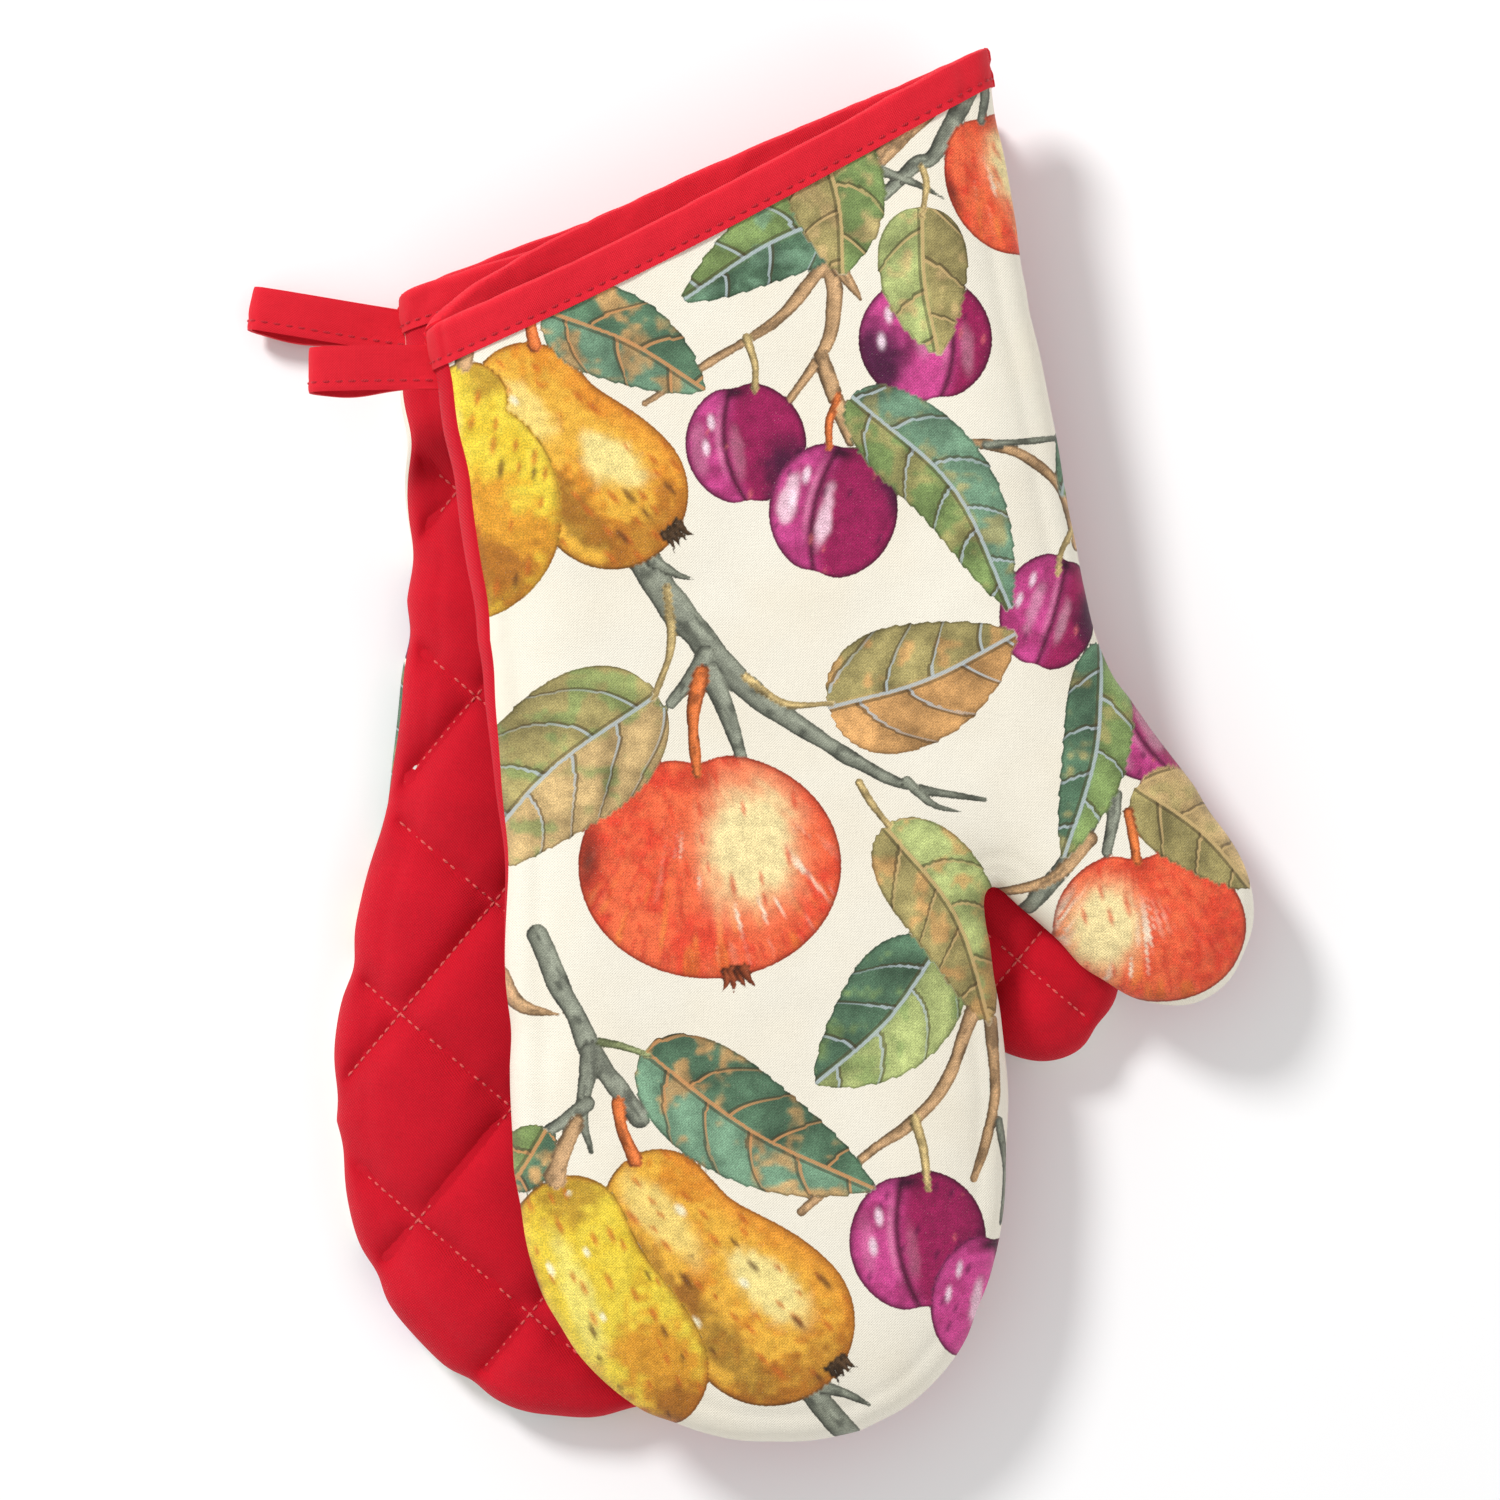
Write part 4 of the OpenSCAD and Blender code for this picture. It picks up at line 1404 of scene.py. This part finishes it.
def build_cloth(mitt, body, print_spacing, palm_spacing):
    """The two outer cloths. The print side is the face that isn't the palm."""
    for face, spacing in ((-mitt.palm, print_spacing), (mitt.palm, palm_spacing)):
        loop = mitt.outline(face, 0.0, face == TOP, BELOW_MOUTH["cloth"])
        regions = [(face, loop)]
        if face == BASE:
            regions += [(TOP, extra) for extra in strip_outline(mitt)]
        points, flat, faces = slab(regions, spacing, 4.0, mitt.surface,
                                   lambda xy, f: mitt.surface(xy, f, SHELL),
                                   quilt_points(mitt) if face == mitt.palm else None)
        place = mitt.place(points)
        if face == mitt.palm:
            piece = make_piece(f"{mitt.name}_quilted_palm_cloth", place, faces, RED_CLOTH,
                               body, f"{mitt.name}_palm_shell", flat)
        else:
            art = paint(flat if face == TOP else flat * (-1, 1) + (6, 9))
            piece = make_piece(f"{mitt.name}_printed_back_cloth", place, faces, PRINTED,
                               body, f"{mitt.name}_back_shell", flat, art)


def build_fillings(mitt, body):
    for face in (TOP, BASE):
        side = "palm" if face == mitt.palm else "back"
        loop = mitt.outline(face, WADDING_INSET, False, BELOW_MOUTH["filling"])
        points, flat, faces = slab([(face, resample_loop(loop, 2.4))], 3.4, 4.4,
                                   lambda xy, f: mitt.inside(xy, f, SHELL + GAP),
                                   lambda xy, f: mitt.inside(xy, f, SHELL + GAP + BATTING))
        piece = make_piece(f"{mitt.name}_{side}_wadding", mitt.place(points), faces, PADDING,
                           body, f"{mitt.name}_{side}_batting", flat)
        loop = resample_loop(mitt.outline(face, LINING_INSET, False, BELOW_MOUTH["filling"]), 2.0)
        points, flat, faces = slab([(face, loop)], 3.0, 3.6,
                                   lambda xy, f: mitt.inside(xy, f, WALL - LINING, LINING_INSET),
                                   lambda xy, f: mitt.inside(xy, f, WALL, LINING_INSET))
        piece = make_piece(f"{mitt.name}_{side}_lining_cloth", mitt.place(points), faces,
                           LINING_CLOTH, body, f"{mitt.name}_{side}_lining", flat)


def resample_loop(loop, step):
    line = resample(np.vstack([loop, loop[:1]]), step)
    return line[:-1]


def mouth_point(mitt, s, face, a, k):
    """A point of the binding: s across the mouth, a down from its edge, and k from the
    outside of the wall at 0 to its inside at 1."""
    across = unit(mitt.high - mitt.low)
    bow = mitt.down * (mitt.bow(s, face))[:, None]
    left, right = mitt.seam_at(a, 1), mitt.seam_at(a, -1)
    outer = left + (right - left) * s[:, None] + bow
    gap = 5.0
    left = left + across * gap
    right = right - across * gap
    inner = left + (right - left) * s[:, None] + bow
    p0 = mitt.surface(outer, face, -BINDING_THICKNESS)
    width = np.linalg.norm(right - left, axis=1)
    near = np.minimum(s, 1 - s) * width
    z = np.maximum(mitt.height(inner, face) - WALL - 0.6, 0.0) * swell(near, 4.0)
    p1 = np.column_stack([inner, face * z])
    return p0 + (p1 - p0) * k[:, None]


def build_binding(mitt, body):
    half = 150
    t = np.linspace(0, 1, half, endpoint=False)
    s = np.concatenate([0.5 - 0.5 * np.cos(np.pi * t), 0.5 + 0.5 * np.cos(np.pi * t)])
    face = np.repeat([TOP, BASE], half)
    down = np.array([8.0, 7.7, 7.2, 6.7, 6.3, 5.8, 5.0, 4.0, 3.0, 2.0, 1.0, 0.3])
    bend = np.linspace(0, np.pi, 9)[1:-1]
    a = np.concatenate([down, -1.1 * np.sin(bend), down[::-1]])
    k = np.concatenate([np.zeros(len(down)), 0.5 - 0.5 * np.cos(bend), np.ones(len(down))])
    grid = np.zeros((len(s), len(a), 3))
    for f in (TOP, BASE):
        rows = np.nonzero(face == f)[0]
        ss = np.repeat(s[rows], len(a))
        grid[rows] = mouth_point(mitt, ss, f, np.tile(a, len(rows)),
                                 np.tile(k, len(rows))).reshape(len(rows), len(a), 3)
    along = np.roll(grid, -1, 0) - np.roll(grid, 1, 0)
    normals = unit(np.cross(along, np.gradient(grid, axis=1)))
    if normals[half // 2, 5, 2] < 0:
        grid, normals = grid[::-1], -normals[::-1]
    around = arc_length(np.vstack([grid[:, 6], grid[:1, 6]]))[:-1]
    wide = np.tile(around[:, None], (1, len(a)))
    deep = np.tile(np.where(k < 0.5, a, -2 - a)[None], (len(s), 1))
    spot_at = np.stack([wide.ravel(), deep.ravel()], 1)
    relief = 0.5 * (noise(spot_at / (7.0, 5.0), 1, 21) - 0.5)
    relief += 0.25 * (noise(spot_at / (2.8, 3.4), 1, 22) - 0.5)
    relief = relief.reshape(wide.shape)
    stitched = bell(a, 6.3, 0.8)
    pinch = 0.7 + 0.3 * np.cos(2 * np.pi * wide / TAPE_STITCH[0])
    grid = grid + normals * (relief - 0.32 * stitched[None] * pinch)[..., None]
    points, faces = strip_solid(grid, BINDING_THICKNESS - 0.1, True)
    piece = make_piece(f"{mitt.name}_cuff_tape", mitt.place(points), faces, RED_TAPE,
                       body, f"{mitt.name}_cuff_binding",
                       np.vstack([spot_at, spot_at]), crease=40)
    edge = np.linalg.norm(np.diff(grid[0], axis=0), axis=1).sum() * MM
    columns = [4, len(a) - 5]
    parts = []
    for column in columns:
        line = np.vstack([grid[:, column], grid[:1, column]])
        n = np.vstack([normals[:, column], normals[:1, column]])
        parts.append(stitch_beads(line, n, *TAPE_STITCH, 0.3))
    stitches(f"{mitt.name}_binding_stitches", mitt, body, parts,
             f"{mitt.name}_binding_thread")


def stitches(name, mitt, body, parts, node, material=RED_THREAD):
    """One piece from the points, faces and cloth places of several rows of stitches."""
    points, faces, codes, total = [], [], [], 0
    for p, f, c in parts:
        points.append(p)
        faces.append(f + total)
        codes.append(c)
        total += len(p)
    return make_piece(name, mitt.place(np.vstack(points)), np.vstack(faces), material,
                      body, node, np.vstack(codes), crease=70)


def build_quilting(mitt, body):
    """Straight rows of stitches both ways across the palm."""
    parts = []
    for line, holes in quilt_rows(mitt):
        deep = 9 + mitt.bow(np.full(len(line), 0.5), mitt.palm)
        ok = (mitt.inward(line) > 3.2) & (mitt.below_cuff(line) > deep)
        for run in np.split(np.arange(len(line)), np.nonzero(np.diff(ok.astype(int)))[0] + 1):
            while len(run) and not holes[run[0]]:
                run = run[1:]
            if len(run) < 8 or not ok[run[0]]:
                continue
            xy = line[run]
            parts.append(stitch_beads(mitt.surface(xy, mitt.palm),
                                      mitt.normals(xy, mitt.palm), STITCH_PITCH, 1.75,
                                      0.26, 0.12))
    stitches(f"{mitt.name}_quilting_stitches", mitt, body, parts,
             f"{mitt.name}_quilting_thread", PALE_THREAD)


def build_loop(mitt, reach, twist, droop):
    """The folded hanging tape, sewn in at the low corner of the cuff."""
    root, radius = LOOP_ROOT, LOOP_RADIUS
    straight = np.linspace(0, 1, 34)
    tip = -(reach - radius)
    x = 5.0 + (tip - 5.0) * straight
    z = 0.55 + (radius - 0.55) * smoothstep(0.15, 1.0, straight)
    bend = np.linspace(np.pi / 2, -np.pi / 2, 19)[1:-1]
    path = np.vstack([np.column_stack([x, z]),
                      np.column_stack([tip - radius * np.cos(bend), radius * np.sin(bend)]),
                      np.column_stack([x[::-1], -z[::-1]])])
    path = resample(path, 0.8)
    length = arc_length(path)
    across = np.linspace(-TAPE_WIDTH / 2, TAPE_WIDTH / 2, 15)
    grid = np.zeros((len(path), len(across), 3))
    far = np.clip(-path[:, 0] / reach, 0, 1)
    lower = smoothstep(0.45, 0.75, length / length[-1])
    for j, v in enumerate(across):
        rock = twist * far * v
        grid[:, j] = np.column_stack([
            root[0] + path[:, 0],
            root[1] + v + droop * far ** 1.5 - 2.0 * lower * smoothstep(0.1, 0.8, far),
            path[:, 1] + rock])
    normals = unit(np.cross(np.gradient(grid, axis=0), np.gradient(grid, axis=1)))
    if normals[4, 7, 2] < 0:
        grid, normals = grid[:, ::-1], -normals[:, ::-1]
        across = across[::-1]
    v = np.tile(across[None], (len(path), 1))
    u = np.tile(length[:, None], (1, len(across)))
    relief = 0.3 * (noise(np.stack([u.ravel() / 5, v.ravel() / 4], 1), 1, 31) - 0.5)
    edge = bell(abs(v), TAPE_WIDTH / 2, 0.6)
    sewn = bell(v, -TAPE_STITCH_LINE, 0.55)
    sewn *= 0.7 + 0.3 * np.cos(2 * np.pi * u / TAPE_STITCH[0])
    grid = grid + normals * (relief.reshape(v.shape) - 0.22 * edge - 0.25 * sewn)[..., None]
    points, faces = strip_solid(grid, TAPE_THICKNESS, False)
    cloth = np.stack([u.ravel(), v.ravel()], 1)
    piece = make_piece(f"{mitt.name}_loop_tape", mitt.place(points), faces, RED_TAPE,
                       None, f"{mitt.name}_hanging_loop",
                       np.vstack([cloth, cloth]), crease=40)
    column = int(np.argmin(abs(across + TAPE_STITCH_LINE)))
    sides = []
    for sign, lift in ((1, 0.0), (-1, -TAPE_THICKNESS)):
        line = grid[:, column] + normals[:, column] * lift
        sides.append(stitch_beads(line, normals[:, column] * sign, *TAPE_STITCH, 0.28))
    thread_piece = stitches(f"{mitt.name}_loop_stitches", mitt, None, sides, None)
    start = mitt.place([[root[0] + 1.0, root[1], 0]])[0].tolist()
    end = mitt.place([[root[0] - 4.0, root[1], 0]])[0].tolist()
    for part in (piece, thread_piece):
        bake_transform(part)


def build_mitt(mitt, print_spacing, palm_spacing, reach, twist, droop):
    body = f"{mitt.name}_mitt"
    simulate(mitt)
    build_fillings(mitt, body)
    build_cloth(mitt, body, print_spacing, palm_spacing)
    build_binding(mitt, body)
    build_quilting(mitt, body)
    build_loop(mitt, reach, twist, droop)


UPPER = Mitt("upper", BASE, 1.2, 0.5, {TOP: (2.0, 0.8), BASE: (-5.6, 0.5)}, UPPER_MOVES,
             lambda y: 3.3 * smoothstep(100, 215, y))
LOWER = Mitt("lower", TOP, 0.8, 1.4, {TOP: (1.0, 0.8), BASE: (-3.0, 0.7)}, LOWER_MOVES,
             lambda y: bell(y, 160, 17) + 1.2 * bell(y, 222, 19))

build_mitt(UPPER, 0.7, 1.2, 27.0, 0.05, -0.8)
build_mitt(LOWER, 1.3, 0.95, 33.0, -0.04, 0.0)

# --------------------------------------------------------------------- floor and light

CAMERA_HEIGHT = 1.13
SHARP_HEIGHT = 0.032        # where the picture takes in PICTURE_WIDTH
PICTURE_WIDTH = 0.3438


def area_light(name, place, size, power):
    data = bpy.data.lights.new(name, "AREA")
    data.shape = "DISK"
    data.size = size
    data.energy = power
    lamp = add_object(name, data)
    lamp.location = place
    lamp.rotation_euler = (-Vector(place)).to_track_quat("-Z", "Y").to_euler()


def build_floor():
    mesh = bpy.data.meshes.new("floor")
    r = 6.0
    mesh.from_pydata([(-r, -r, 0), (r, -r, 0), (r, r, 0), (-r, r, 0)], [], [(0, 1, 2, 3)])
    floor = add_object("floor", mesh)
    n = Nodes("paper_floor")
    where = n.node("ShaderNodeTexCoord", {}).outputs["Object"]
    colour = n.blend(n.noise(where, 3.0), (0.93, 0.93, 0.93), (0.95, 0.95, 0.95))
    n.put(colour, n.shader.inputs["Base Color"])
    n.shader.inputs["Roughness"].default_value = 1.0
    n.shader.inputs["Specular IOR Level"].default_value = 0.0
    mesh.materials.append(n.material)


def build_studio():
    scene = bpy.context.scene
    scene.view_settings.view_transform = "Standard"
    world = bpy.data.worlds.new("studio")
    world.use_nodes = True
    world.node_tree.nodes["Background"].inputs["Color"].default_value = (1, 1, 1, 1)
    world.node_tree.nodes["Background"].inputs["Strength"].default_value = 0.6
    scene.world = world
    area_light("key", (-1.0, 1.1, 1.25), 0.45, 27)
    area_light("fill", (1.2, -0.6, 1.4), 1.2, 5)
    lens = bpy.data.cameras.new("camera")
    lens.sensor_width = 36
    lens.lens = lens.sensor_width * (CAMERA_HEIGHT - SHARP_HEIGHT) / PICTURE_WIDTH
    lens.clip_start, lens.clip_end = 0.01, 50
    camera = add_object("camera", lens)
    camera.location = (0.0009, -0.001, CAMERA_HEIGHT)
    scene.camera = camera


build_floor()
build_studio()

bpy.context.view_layer.update()
